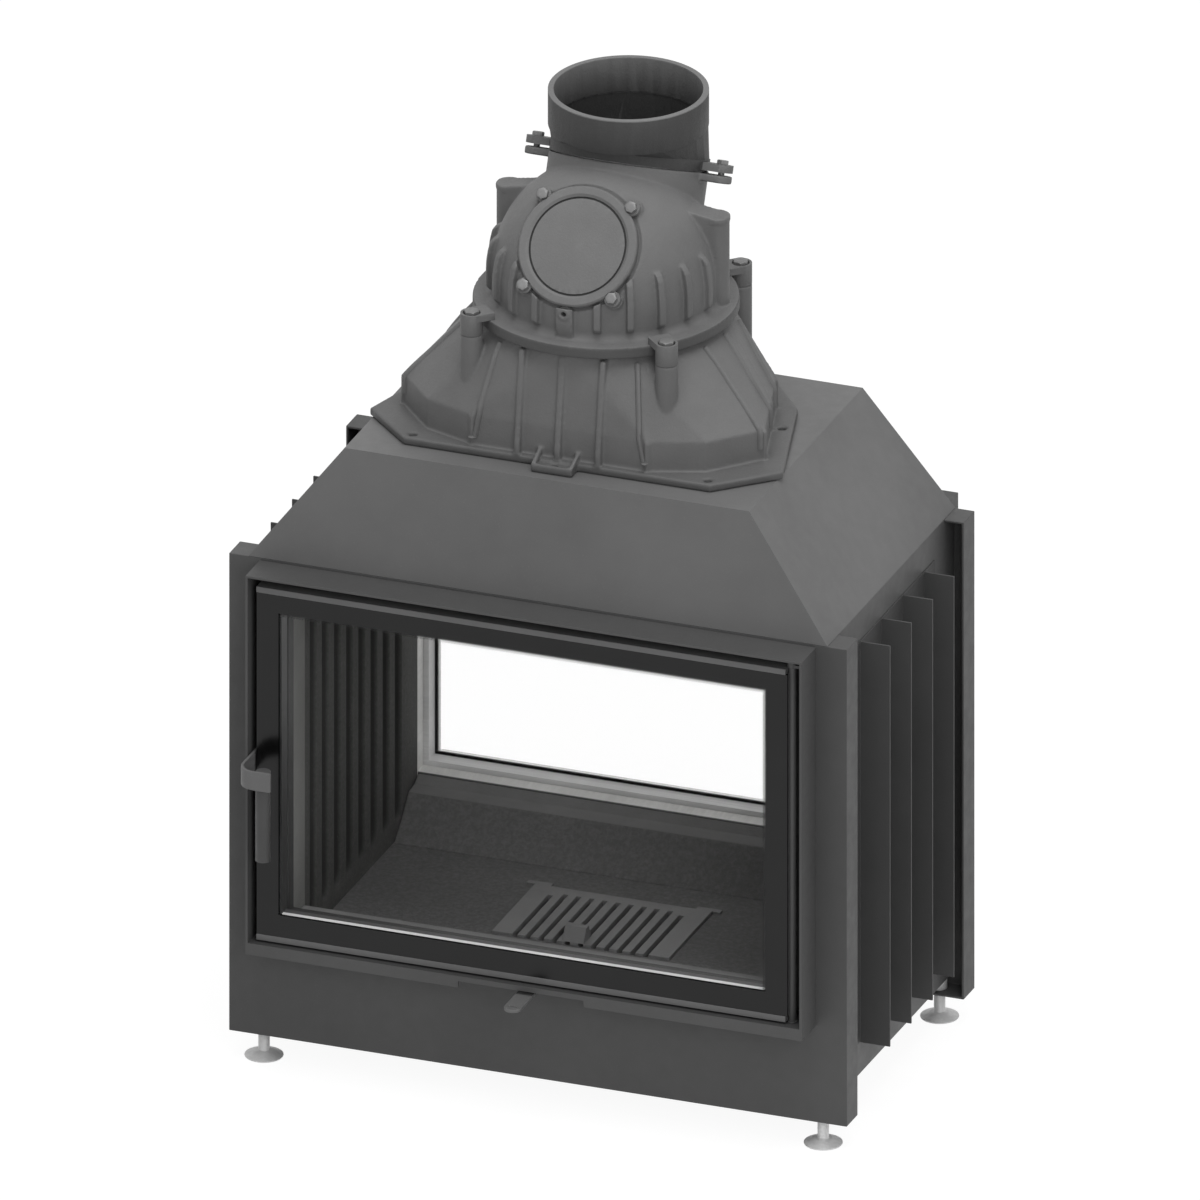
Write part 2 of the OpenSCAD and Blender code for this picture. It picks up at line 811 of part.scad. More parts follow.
module dome_casting() {
    inner = dome_r - dome_t;
    neck_l = 78;
    boss_low = 70;
    color("#6b6b6b") difference() {
        union() {
            translate([0, dome_y, ring_z]) {
                rotate_extrude($fn = 96) dome_profile();
                dome_ribs();
                sensor_boss();
                for (side = [0, 1]) mirror([side, 0, 0]) rotate([0, 0, 10]) side_post();
            }
            cover_frame() {
                translate([0, 0, boss_low]) cylinder(h = seat_dist - boss_low, r = cover_r + 2);
                cover_places() translate([0, 0, boss_low + 18]) cylinder(h = seat_dist - boss_low - 18, r = 11);
            }
            joint_frame() {
                translate([0, 0, -neck_l]) cylinder(h = neck_l - 1.5, r = flue_r);
                lugs(-lug_gap / 2 - lug_t);
            }
        }
        cover_frame() translate([0, 0, seat_dist]) {
            cylinder(h = 60, r = cover_r + 4);
            cover_places() cylinder(h = 60, r = 12);
        }
        cover_frame() cylinder(h = seat_dist + 1, r = cover_r - 14);
        cover_frame() cover_places() translate([0, 0, seat_dist - 14]) cylinder(h = 20, r = 4);
        joint_frame() translate([0, 0, -neck_l - 20]) cylinder(h = neck_l + 30, r = flue_r - flue_t);
        joint_frame() lug_places() translate([0, 0, -2 * lug_t]) cylinder(h = 3 * lug_t, r = 4.2);
        translate([0, dome_y, ring_z]) {
            translate([0, 0, -1]) cylinder(h = drum_h + 1, r = inner);
            translate([0, 0, drum_h]) sphere(r = inner);
            translate([0, -dome_r - 20, drum_h]) rotate([-90, 0, 0]) cylinder(h = 60, r = 3.3);
        }
    }
}

// Places of the two bolts at the outlet joint
module lug_places() {
    for (side = [-1, 1]) translate([side * (flue_r + 22), 0, 0]) children();
}

// Pair of lugs beside the outlet joint
module lugs(low) {
    for (side = [-1, 1]) {
        translate([side * (flue_r + 22), 0, low]) cylinder(h = lug_t, r = 14);
        translate([side * (flue_r + 10) - 13, -14, low]) cube([26, 28, lug_t]);
    }
}

module inspection_gasket() {
    color("#5a5a50") cover_frame() translate([0, 0, seat_dist]) difference() {
        cylinder(h = gasket_t, r = cover_r - 1);
        translate([0, 0, -1]) cylinder(h = gasket_t + 2, r = cover_r - 14);
    }
}

// Round cover with a raised rim, a groove and four ears
module inspection_cover() {
    color("#727272") cover_frame() translate([0, 0, seat_dist + gasket_t]) difference() {
        union() {
            rotate_extrude($fn = 96) polygon([
                [0, 0], [cover_r, 0], [cover_r, cover_t - 2], [cover_r - 2, cover_t], [cover_r - 10, cover_t],
                [cover_r - 13, cover_t - 2.5], [0, cover_t - 2]
            ]);
            cover_places() cylinder(h = cover_t - 3, r = 10);
        }
        translate([0, 0, cover_t - 3.5]) difference() {
            cylinder(h = 4, r = cover_r - 13.5, $fn = 96);
            translate([0, 0, -1]) cylinder(h = 6, r = cover_r - 15.5, $fn = 96);
        }
        cover_places() {
            translate([0, 0, -1]) cylinder(h = cover_t + 2, r = 4.2);
            translate([0, 0, cover_t - 3]) cylinder(h = 4, r = 8.4);
        }
    }
}

module cover_bolts() {
    color("#8a8a8a") cover_frame() translate([0, 0, seat_dist + gasket_t]) cover_places() {
        translate([0, 0, cover_t - 3]) hex_head(13, 6);
        translate([0, 0, -gasket_t - 12]) cylinder(h = gasket_t + 9 + cover_t, r = 3.8);
    }
}

// Solid taper between the joint ring and the collar, let into both
module outlet_taper(r, past) {
    skin = 1;
    hull() {
        joint_frame() translate([0, 0, outlet_h - 2 - past]) cylinder(h = skin, r = r, $fn = 32);
        translate([0, joint_y - 2, collar_z + 1 + past]) cylinder(h = skin, r = r, $fn = 32);
    }
}

// Outlet that turns from the tilted joint to an upright collar
module outlet_elbow() {
    bore = flue_r - flue_t;
    color("#404040") {
        joint_frame() difference() {
            union() {
                cylinder(h = outlet_h, r = flue_r);
                lugs(lug_gap / 2);
            }
            translate([0, 0, -1]) cylinder(h = outlet_h + 2, r = bore);
            lug_places() cylinder(h = outlet_h, r = 4.2);
        }
        difference() {
            outlet_taper(flue_r - 1, 0);
            outlet_taper(bore + 1.5, 2);
        }
        translate([0, joint_y - 2, collar_z]) difference() {
            cylinder(h = flue_top - collar_z, r = flue_r);
            translate([0, 0, -1]) cylinder(h = flue_top - collar_z + 2, r = bore);
        }
    }
}

module outlet_bolts() {
    top = lug_gap / 2 + lug_t;
    color("#8a8a8a") joint_frame() lug_places() {
        translate([0, 0, top]) hex_head(13, 5.5);
        translate([0, 0, -top]) cylinder(h = 2 * top, r = 4);
    }
}

// Folded profile of the door, open to the glass, with the hinge tube
module door_frame() {
    color("#3c3c3c") difference() {
        union() {
            difference() {
                ring_xz(door_left, door_right, glass_bottom, glass_top, stile_handle, stile_hinge,
                        frame_low - glass_bottom, glass_top - frame_high, -glass_back, -frame_back);
                ring_xz(door_left + profile_t, door_right - profile_t,
                        glass_bottom + profile_t, glass_top - profile_t,
                        stile_handle - 2 * profile_t, stile_hinge - 2 * profile_t,
                        frame_low - glass_bottom - 2 * profile_t, glass_top - frame_high - 2 * profile_t,
                        -glass_back - 1, -frame_back - profile_t);
            }
            translate([hinge_x, -hinge_y, door_bottom]) cylinder(h = door_top - door_bottom, r = tube_r);
        }
        translate([hinge_x, -hinge_y, door_bottom - 1])
            cylinder(h = door_top - door_bottom + 2, r = rod_r + clear / 2);
    }
}

module front_door_frame() {
    door_frame();
}

module rear_door_frame() {
    to_rear() door_frame();
}

module door_glass() {
    color([0.75, 0.8, 0.8, 0.35])
        block([door_left, -door_y, glass_bottom], [door_right, -glass_back, glass_top]);
}

module front_door_glass() {
    door_glass();
}

module rear_door_glass() {
    to_rear() door_glass();
}

// Rails that hold the glass at its top and bottom
module door_rails() {
    right = hinge_x - tube_r - clear;
    color("#5a5a5a") {
        block([door_left, -door_y - 1, glass_top], [right, -frame_back, door_top]);
        block([door_left, -door_y - 1, door_bottom], [right, -frame_back, glass_bottom]);
    }
}

module front_door_rails() {
    door_rails();
}

module rear_door_rails() {
    to_rear() door_rails();
}

// Rope seal on the back of the door, pressed on the rim of the jamb
module door_seal() {
    half = fire_x + 1 + seal_w;
    color("#55524c")
        ring_xz(-half, half, sill_z + 2 - seal_w, head_z + 1 + seal_w,
                seal_w, seal_w, seal_w, seal_w, -frame_back, -seat_y - clear);
}

module front_door_seal() {
    door_seal();
}

module rear_door_seal() {
    to_rear() door_seal();
}

// Rod through the hinge tube, with a collar that carries the door
module hinge_rod() {
    color("#9a9a9a") translate([hinge_x, -hinge_y, 0]) {
        translate([0, 0, lip_top - sheet - 4]) cylinder(h = door_top + 8 - (lip_top - sheet - 4), r = rod_r);
        translate([0, 0, lip_top + clear]) cylinder(h = gap_bottom - clear, r = tube_r + 1.5);
    }
}

module front_hinge_rod() {
    hinge_rod();
}

module rear_hinge_rod() {
    to_rear() hinge_rod();
}

// Pin on the edge of the door that the handle turns on
module latch_pin() {
    inner = latch_x + strap_t / 2;
    outer = latch_x - strap_t / 2;
    color("#9a9a9a") {
        rod_x(outer - clear - 1.1, door_left, -latch_y, handle_z, 4);
        rod_x(inner + clear, door_left, -latch_y, handle_z, 7);
        rod_x(outer - clear - 1.1, outer - clear, -latch_y, handle_z, 6.5);
    }
}

module front_latch_pin() {
    latch_pin();
}

module rear_latch_pin() {
    to_rear() latch_pin();
}

// Flat strap that runs past the edge of the door and curls round to the grip
module handle_lever() {
    outer = latch_x - strap_t / 2;
    inner = latch_x + strap_t / 2;
    low = handle_z - strap_h / 2;
    high = handle_z + strap_h / 2;
    bend_y = -handle_y + strap_bend;
    end_x = outer + strap_bend + 23;
    color("#4c4c4c") difference() {
        union() {
            pulled(outer, inner, [
                [bend_y, low], [-latch_y + 2, low], [-latch_y + 10, handle_z - 6],
                [-latch_y + 17, handle_z - 3], [-latch_y + 18, handle_z + 1],
                [-latch_y + 9, handle_z + 2], [-latch_y + 2, high], [bend_y, high]
            ]);
            translate([outer + strap_bend, bend_y, low]) rotate([0, 0, 180]) rotate_extrude(angle = 90)
                translate([strap_bend - strap_t, 0]) square([strap_t, strap_h]);
            block([outer + strap_bend, -handle_y, low], [end_x, -handle_y + strap_t, high]);
        }
        rod_x(outer - 1, inner + 1, -latch_y, handle_z, 4 + clear);
    }
}

module front_handle_lever() {
    handle_lever();
}

module rear_handle_lever() {
    to_rear() handle_lever();
}

// Round rod behind the end of the strap
module handle_grip() {
    high = handle_z + strap_h / 2 - 3;
    color("#474747")
        translate([latch_x - strap_t / 2 + strap_bend + 9, -handle_y + strap_t + grip_d / 2, high - grip_l]) {
            cylinder(h = grip_l, r = grip_d / 2);
        }
}

module front_handle_grip() {
    handle_grip();
}

module rear_handle_grip() {
    to_rear() handle_grip();
}

// Strip that pokes out under the front door, with the slide plate at its inner end
module air_lever() {
    plate_back = -jamb_in_y + 24;
    tip_y = -handle_y + lever_w / 2;
    color("#505050") difference() {
        union() {
            block([-lever_w / 2, tip_y, lever_z], [lever_w / 2, plate_back, lever_z + lever_t]);
            translate([0, tip_y, lever_z]) cylinder(h = lever_t, r = lever_w / 2);
            block([-slide_half(), -jamb_in_y + 1, lever_z], [slide_half(), plate_back, lever_z + lever_t]);
        }
        translate([0, tip_y, lever_z - 1]) {
            for (dx = [-4, 4]) translate([dx, 0, 0]) cylinder(h = lever_t + 2, r = 2);
            translate([-4, -2, 0]) cube([8, 4, lever_t + 2]);
        }
    }
}

// Cast grate with open slots, cross bars under it, two tabs and a lifting lug
module grate() {
    half = (slot_count - 1) * slot_pitch / 2;
    bar_y = well_d / 2 - 5;
    low = grate_z - 7;
    color("#585858") {
        difference() {
            block([-grate_w / 2, -grate_d / 2, grate_z], [grate_w / 2, grate_d / 2, grate_z + grate_t]);
            for (i = [0 : slot_count - 1])
                translate([-half + i * slot_pitch - slot_w / 2, -grate_d / 2 - 1, grate_z - 1])
                    cube([slot_w, grate_d - (i == 0 || i == slot_count - 1 ? 24 : 16), grate_t + 2]);
        }
        for (y = [-bar_y, bar_y - 8])
            block([-well_w / 2 + 2, y, low], [well_w / 2 - 2, y + 8, grate_z]);
        for (side = [-1, 1])
            translate([side * (grate_w / 2 - 5) - 16, grate_d / 2, hearth_z])
                cube([32, 8, grate_z + grate_t - hearth_z]);
        pulled(-24, 4, [
            [-grate_d / 2 + 1, grate_z + grate_t], [-grate_d / 2 + 10, grate_z + grate_t + 18],
            [-grate_d / 2 + 19, grate_z + grate_t + 18], [-grate_d / 2 + 28, grate_z + grate_t]
        ]);
    }
}

module ash_pan() {
    x = well_w / 2 - pan_gap;
    y = well_d / 2 - pan_gap;
    wall = 2;
    color("#6a6a6a") difference() {
        block([-x, -y, pan_floor()], [x, y, pan_floor() + pan_h]);
        block([-x + wall, -y + wall, pan_floor() + wall], [x - wall, y - wall, pan_floor() + pan_h + 1]);
    }
}

// Levelling foot with a shallow disc and a threaded stem
module foot(sx, sy) {
    color("#a8a8a8") translate([sx * foot_x, sy * foot_y(), 0]) {
        cylinder(h = 2, r = foot_r);
        translate([0, 0, 2]) cylinder(h = 6, r1 = foot_r, r2 = 11);
        translate([0, 0, 8]) cylinder(h = foot_gap + 42 - 8, r = stem_r);
    }
}

module foot_front_left() {
    foot(-1, -1);
}

module foot_front_right() {
    foot(1, -1);
}

module foot_rear_left() {
    foot(-1, 1);
}

module foot_rear_right() {
    foot(1, 1);
}

front_panel();
rear_panel();
left_side_wall();
right_side_wall();
left_fins();
right_fins();
base_tray();
air_inlet_collar();
hearth_slab();
ash_well();
left_lining();
right_lining();
front_sill();
rear_sill();
front_jamb();
rear_jamb();
front_surround();
rear_surround();
front_catch_pin();
rear_catch_pin();
front_hinge_bracket();
rear_hinge_bracket();
baffle_plate();
hood();
transition_casting();
casting_bolts();
clamp_jaws();
clamp_bolts();
foot_nuts();
dome_casting();
inspection_gasket();
inspection_cover();
cover_bolts();
outlet_elbow();
outlet_bolts();
front_door_frame();
front_door_glass();
front_door_rails();
front_door_seal();
front_hinge_rod();
front_latch_pin();
rear_door_frame();
rear_door_glass();
rear_door_rails();
rear_door_seal();
rear_hinge_rod();
rear_latch_pin();
front_handle_lever();
front_handle_grip();
rear_handle_lever();
rear_handle_grip();
air_lever();
grate();
ash_pan();
foot_front_left();
foot_front_right();
foot_rear_left();
foot_rear_right();
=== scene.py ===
import math

import bmesh
import bpy
from mathutils import Matrix, Vector
from mathutils.bvhtree import BVHTree


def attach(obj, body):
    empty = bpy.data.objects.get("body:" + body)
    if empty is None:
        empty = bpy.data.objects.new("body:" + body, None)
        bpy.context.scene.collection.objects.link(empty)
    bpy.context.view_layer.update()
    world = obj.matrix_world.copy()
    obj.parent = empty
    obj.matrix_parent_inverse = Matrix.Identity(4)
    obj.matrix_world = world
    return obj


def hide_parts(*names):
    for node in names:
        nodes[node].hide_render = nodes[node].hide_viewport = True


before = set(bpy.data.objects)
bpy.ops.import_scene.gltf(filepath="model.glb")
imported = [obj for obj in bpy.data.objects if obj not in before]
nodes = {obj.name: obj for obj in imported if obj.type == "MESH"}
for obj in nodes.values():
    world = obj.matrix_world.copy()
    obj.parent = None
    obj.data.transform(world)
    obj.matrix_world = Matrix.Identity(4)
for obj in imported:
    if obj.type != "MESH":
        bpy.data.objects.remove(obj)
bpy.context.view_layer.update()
scene = bpy.context.scene
MM = 0.001

# The photograph is a parallel projection: 0.815 px per mm on a 1200 px frame.
PX_PER_MM = 0.815
CAMERA_BACK = Vector((0.3234, -0.8513, 0.4131))
CAMERA_TARGET = Vector((-0.0024, 0.0, 0.5868))
CAMERA_DISTANCE = 6

# Places on the CAD part, in millimetres and degrees
DOME_Y, DRUM_Z = 15.0, 1028.0
COVER_TILT, COVER_SEAT, COVER_EAR = 54.2, 112.99, 58
JOINT_Y, JOINT_Z, JOINT_TILT, JOINT_LUG = 94, 1141, -22.5, 121
OUTLET_Y = 92
CLAMP_R, CLAMP_TOP = 181.02, 997.3
FOOT_X, FOOT_Y = 367, 201


def grey(code):
    """Linear value of an sRGB grey from 0 to 255."""
    c = code / 255
    return c / 12.92 if c <= 0.04045 else ((c + 0.055) / 1.055) ** 2.4


PLAIN = (1.0, 1.0, 1.0)


def tone(value, tint=PLAIN):
    """Colour of a linear value and a tint."""
    return (value * tint[0], value * tint[1], value * tint[2], 1.0)


# Materials


class Shader:
    """Small helper round one Principled material."""

    def __init__(self, name):
        self.material = bpy.data.materials.new(name)
        self.material.use_nodes = True
        self.tree = self.material.node_tree
        self.tree.nodes.clear()
        self.out = self.add("ShaderNodeOutputMaterial")
        self.main = self.add("ShaderNodeBsdfPrincipled")
        self.link(self.main.outputs[0], self.out.inputs[0])
        self.place = self.add("ShaderNodeTexCoord").outputs["Object"]

    def add(self, kind, **settings):
        node = self.tree.nodes.new(kind)
        for key, value in settings.items():
            setattr(node, key, value)
        return node

    def link(self, a, b):
        self.tree.links.new(a, b)

    def put(self, node, key, value):
        if isinstance(value, bpy.types.NodeSocket):
            self.link(value, node.inputs[key])
        else:
            node.inputs[key].default_value = value

    def noise(self, scale, detail=3.0, rough=0.55, stretch=None):
        place = self.place
        if stretch:
            mapping = self.add("ShaderNodeMapping")
            self.link(place, mapping.inputs["Vector"])
            mapping.inputs["Scale"].default_value = stretch
            place = mapping.outputs[0]
        node = self.add("ShaderNodeTexNoise")
        self.link(place, node.inputs["Vector"])
        node.inputs["Scale"].default_value = scale
        node.inputs["Detail"].default_value = detail
        node.inputs["Roughness"].default_value = rough
        return node.outputs["Fac"]

    def voronoi(self, scale, feature="F1"):
        node = self.add("ShaderNodeTexVoronoi", feature=feature)
        self.link(self.place, node.inputs["Vector"])
        node.inputs["Scale"].default_value = scale
        return node.outputs["Distance"]

    def span(self, value, low, high, to_low=0.0, to_high=1.0):
        node = self.add("ShaderNodeMapRange")
        self.put(node, "Value", value)
        for key, number in (("From Min", low), ("From Max", high), ("To Min", to_low), ("To Max", to_high)):
            node.inputs[key].default_value = number
        return node.outputs[0]

    def math(self, how, a, b=0.0):
        node = self.add("ShaderNodeMath", operation=how)
        self.put(node, 0, a)
        self.put(node, 1, b)
        return node.outputs[0]

    def mix(self, fac, a, b):
        node = self.add("ShaderNodeMix", data_type="RGBA")
        self.put(node, 0, fac)
        self.put(node, 6, a)
        self.put(node, 7, b)
        return node.outputs[2]

    def bump(self, height, distance, normal=None):
        node = self.add("ShaderNodeBump")
        node.inputs["Distance"].default_value = distance
        node.inputs["Strength"].default_value = 1.0
        self.link(height, node.inputs["Height"])
        if normal is not None:
            self.link(normal, node.inputs["Normal"])
        return node.outputs[0]

    def between(self, value, low, high):
        """1 where a value lies between two limits, 0 elsewhere."""
        return self.both(self.math("GREATER_THAN", value, low), self.math("LESS_THAN", value, high))

    def both(self, *masks):
        """1 where every mask is 1."""
        total = masks[0]
        for mask in masks[1:]:
            total = self.math("MULTIPLY", total, mask)
        return total

    def turned(self, value, share, other, other_share, shift):
        """Sum of two coordinates by their shares and a shift: a coordinate in a turned frame."""
        parts = self.math("MULTIPLY", value, share), self.math("MULTIPLY", other, other_share)
        return self.math("ADD", self.math("ADD", *parts), shift)

    def reach(self, a, b):
        """Distance from an axis, by the two coordinates across it."""
        squares = self.math("MULTIPLY", a, a), self.math("MULTIPLY", b, b)
        return self.math("SQRT", self.math("ADD", *squares))

    def mottled(self, cloud, value, spread, tint=PLAIN, low=0.3, high=0.7):
        """A tone that the clouds make darker and lighter by a share."""
        dark, light = tone(value * (1 - spread), tint), tone(value * (1 + spread), tint)
        return self.mix(self.span(cloud, low, high), dark, light)

    def apart(self, vector):
        """X, Y and Z of a vector."""
        node = self.add("ShaderNodeSeparateXYZ")
        self.link(vector, node.inputs[0])
        return node.outputs

    def faces_up(self):
        """1 on level faces that look up, 0 elsewhere."""
        normal = self.add("ShaderNodeNewGeometry").outputs["True Normal"]
        return self.math("GREATER_THAN", self.apart(normal)[2], 0.7)

    def axes(self):
        """X, Y and Z of the place on the object, in metres."""
        return self.apart(self.place)


PAINT_SPECULAR = 0.35


def paint(name, value, rough=0.55, top=None):
    """Matt heat-proof paint on sheet steel: fine grain, faint clouding, thin dust, and a tone painted on its
    top faces for the light that falls on them.
    """
    s = Shader(name)
    cloud = s.noise(3.5, 4.0, 0.6)
    speck = s.noise(420.0, 2.0, 0.6)
    light = s.mottled(cloud, value, 0.12)
    fine = s.mix(s.span(speck, 0.62, 0.8, 0.0, 0.35), light, tone(value * 1.5))
    # Top faces get their own tone: painted light or shade, standing in for how light falls on them.
    if top is not None:
        fine = s.mix(s.faces_up(), fine, tone(top))
    s.link(fine, s.main.inputs["Base Color"])
    s.link(s.span(s.noise(60.0, 3.0), 0.3, 0.7, rough - 0.06, rough + 0.06), s.main.inputs["Roughness"])
    s.main.inputs["Specular IOR Level"].default_value = PAINT_SPECULAR
    s.link(s.bump(s.noise(900.0, 2.0, 0.7), 0.00012), s.main.inputs["Normal"])
    return s.material


def casting(name, value, rough=0.6, marks=()):
    """Painted grey iron: sand texture, waviness and dark hollows, with marked parts in other tones."""
    s = Shader(name)
    cloud = s.noise(7.0, 5.0, 0.6)
    sand = s.noise(380.0, 4.0, 0.7)
    pits = s.voronoi(260.0)
    base = s.mottled(cloud, value, 0.12)
    dots = s.mix(s.span(pits, 0.0, 0.16, 0.35, 0.0), base, tone(value * 0.55))
    for mask, level in marks:
        dots = s.mix(mask(s), dots, s.mottled(cloud, level, 0.1))
    s.link(dots, s.main.inputs["Base Color"])
    s.link(s.span(sand, 0.3, 0.7, rough - 0.08, rough + 0.08), s.main.inputs["Roughness"])
    s.main.inputs["Specular IOR Level"].default_value = PAINT_SPECULAR
    wave = s.bump(s.noise(28.0, 3.0, 0.5), 0.0011)
    s.link(s.bump(sand, 0.00045, wave), s.main.inputs["Normal"])
    return s.material


# Limits of the marked parts of the looks, in metres
RIM_RADII, RIM_TOP = (0.1628, 0.166), 0.9938
FLANGE_TOP = 0.8412
LUG_START = 0.1005
OUTLET_BORE, OUTLET_INSIDE, OUTLET_TOP = 0.0935, (1.19, 1.2365), 1.2362
GROOVE_RADII = (0.0602, 0.0628)
OPENING_HALF, OPENING_LEVELS = 0.3265, (0.2165, 0.6355)
# Walls and face round the rear doorway, kept near-white as painted light
LIT_HALF, LIT_LEVELS, LIT_FACE = 0.334, (0.206, 0.645), 0.2375
STEP_HALF, STEP_DEPTH, STEP_TOP = 0.3229, 0.2162, 0.2162
LOW_BAND_TOP, LOW_BAND_BACK, LOW_STRIP_BACK = 0.2206, -0.2395, -0.2485
LINING_MARGIN_BACK = -0.176
FLUTE_DEPTHS = (0.3233, 0.3275)
SILL_TOP = 0.2004


def dome_rim_shade(s):
    """Upright edge of the dome's flange, painted darker as shade."""
    x, y, z = s.axes()
    span = s.reach(x, s.math("SUBTRACT", y, DOME_Y * MM))
    return s.both(s.between(span, *RIM_RADII), s.math("LESS_THAN", z, RIM_TOP))


def base_flange(s):
    """Plate at the foot of the transition casting."""
    return s.math("LESS_THAN", s.axes()[2], FLANGE_TOP)


def outlet_lugs(s):
    """Bolted lugs at the sides of the outlet."""
    return s.math("GREATER_THAN", s.math("ABSOLUTE", s.axes()[0]), LUG_START)


def outlet_inside(s):
    """Inside of the outlet, below its rim."""
    x, y, z = s.axes()
    span = s.reach(x, s.math("SUBTRACT", y, OUTLET_Y * MM))
    return s.both(s.math("LESS_THAN", span, OUTLET_BORE), s.between(z, *OUTLET_INSIDE))


def outlet_rim(s):
    """Turned edge at the top of the outlet."""
    return s.math("GREATER_THAN", s.axes()[2], OUTLET_TOP)


def cover_groove_shade(s):
    """Thin round groove inside the raised rim of the tilted inspection cover, painted near-black as shade.
    """
    x, y, z = s.axes()
    tilt = math.radians(COVER_TILT)
    flat = s.turned(y, math.cos(tilt), z, math.sin(tilt),
                    -(DOME_Y * math.cos(tilt) + DRUM_Z * math.sin(tilt)) * MM)
    return s.between(s.reach(x, flat), *GROOVE_RADII)


def steel(name, value, rough, metal, tint=PLAIN, brush=(1, 1, 1), coat=None, dull=None):
    """Bare or plated steel with drawn lines and faint heat clouding, darkened or painted where told."""
    s = Shader(name)
    lines = s.noise(240.0, 3.0, 0.6, stretch=brush)
    cloud = s.noise(9.0, 3.0, 0.5)
    base = s.mix(s.span(cloud, 0.3, 0.7), tone(value * 0.85, tint), tone(value * 1.1, tint))
    drawn = s.mix(s.span(lines, 0.35, 0.65, 0.0, 0.3), base, tone(value * 0.7, tint))
    s.main.inputs["Metallic"].default_value = metal
    if dull:
        where, level = dull
        drawn = s.mix(where(s), drawn, tone(level))
    if coat:
        where, level = coat
        mask = where(s)
        drawn = s.mix(mask, drawn, tone(level))
        s.link(s.span(mask, 0.0, 1.0, metal, 0.0), s.main.inputs["Metallic"])
    s.link(drawn, s.main.inputs["Base Color"])
    s.link(s.span(lines, 0.3, 0.7, rough - 0.07, rough + 0.1), s.main.inputs["Roughness"])
    s.link(s.bump(lines, 0.00006), s.main.inputs["Normal"])
    return s.material


def door_opening(s):
    """Inner walls round the opening of a door frame."""
    x, y, z = s.axes()
    across = s.math("ABSOLUTE", x)
    return s.both(s.math("LESS_THAN", across, OPENING_HALF), s.between(z, *OPENING_LEVELS))


def outside_opening(s):
    """Parts of the rear door frame in the door paint: all but the walls and the face round the opening,
    which keep a near-white tone as painted light.
    """
    x, y, z = s.axes()
    across = s.math("ABSOLUTE", x)
    lit = s.both(s.math("LESS_THAN", across, LIT_HALF), s.between(z, *LIT_LEVELS))
    face = s.both(s.math("LESS_THAN", y, LIT_FACE), lit)
    return s.math("SUBTRACT", 1.0, s.math("MAXIMUM", door_opening(s), face))


def darkened_step_foot(s):
    """Foot of the doorway's lower wall, where the sill meets it, painted darker."""
    x, y, z = s.axes()
    return s.both(s.math("LESS_THAN", z, STEP_TOP), s.math("LESS_THAN", s.math("ABSOLUTE", x), STEP_HALF),
                  s.math("LESS_THAN", s.math("ABSOLUTE", y), STEP_DEPTH))


def low_band(s):
    """Front half of the lower inner wall of the front door frame."""
    x, y, z = s.axes()
    band = s.both(s.math("LESS_THAN", z, LOW_BAND_TOP), s.math("LESS_THAN", y, LOW_BAND_BACK))
    return s.both(door_opening(s), band)


def low_strip_highlight(s):
    """Edge of the lower inner wall of the front door frame, next to the glass, painted near-white as a
    highlight.
    """
    return s.both(low_band(s), s.math("LESS_THAN", s.axes()[1], LOW_STRIP_BACK))


def lining_margin(s):
    """Flat of the side linings in front of the first flute."""
    return s.math("LESS_THAN", s.axes()[1], LINING_MARGIN_BACK)


def sill_ledge(s):
    """Smooth top of the sills."""
    return s.math("GREATER_THAN", s.axes()[2], SILL_TOP)


def lining_groove_shade(s):
    """Painted shade deep in the flutes of the side linings."""
    return s.span(s.math("ABSOLUTE", s.axes()[0]), *FLUTE_DEPTHS)


def refractory(name, value, tint=PLAIN, depth=0.0012, scale=1.0, cloudy=0.16, marks=()):
    """Pressed firebox lining: gritty, finely mottled, with marked parts in other tones."""
    s = Shader(name)
    cloud = s.noise(11.0 * scale, 6.0, 0.65)
    grit = s.noise(150.0 * scale, 5.0, 0.8)
    cells = s.voronoi(34.0 * scale, "SMOOTH_F1")
    base = s.mottled(cloud, value, cloudy, tint, 0.35, 0.65)
    raised = s.mix(0.6, base, tone(value * 1.5, tint))
    spots = s.mix(s.span(grit, 0.42, 0.62, 0.0, 0.5), tone(value * 0.8, tint), raised)
    worn = s.mix(s.span(cells, 0.0, 0.6, 0.15, 0.0), spots, tone(value * 0.6, tint))
    for mask, level in marks:
        worn = s.mix(mask(s), worn, s.mottled(cloud, level, 0.1, tint))
    s.link(worn, s.main.inputs["Base Color"])
    s.main.inputs["Roughness"].default_value = 0.85
    s.main.inputs["Specular IOR Level"].default_value = 0.2
    wide = s.bump(cloud, depth * 2.0)
    s.link(s.bump(grit, depth, wide), s.main.inputs["Normal"])
    return s.material


def rope_material(name, value, tint, spread=0.35):
    """Glass-fibre rope with fine fibres."""
    s = Shader(name)
    fibre = s.noise(900.0, 3.0, 0.7)
    s.link(s.mottled(fibre, value, spread, tint), s.main.inputs["Base Color"])
    s.main.inputs["Roughness"].default_value = 0.9
    s.main.inputs["Sheen Weight"].default_value = 0.2
    s.link(s.bump(fibre, 0.0004), s.main.inputs["Normal"])
    return s.material


# Inner edges of the glass print and its row of dots, in metres
PRINT_SIDES, PRINT_LEVELS = (-0.3262, 0.315), (0.2212, 0.6287)
DOT_PITCH, DOT_FADE = 0.0036, 0.0072


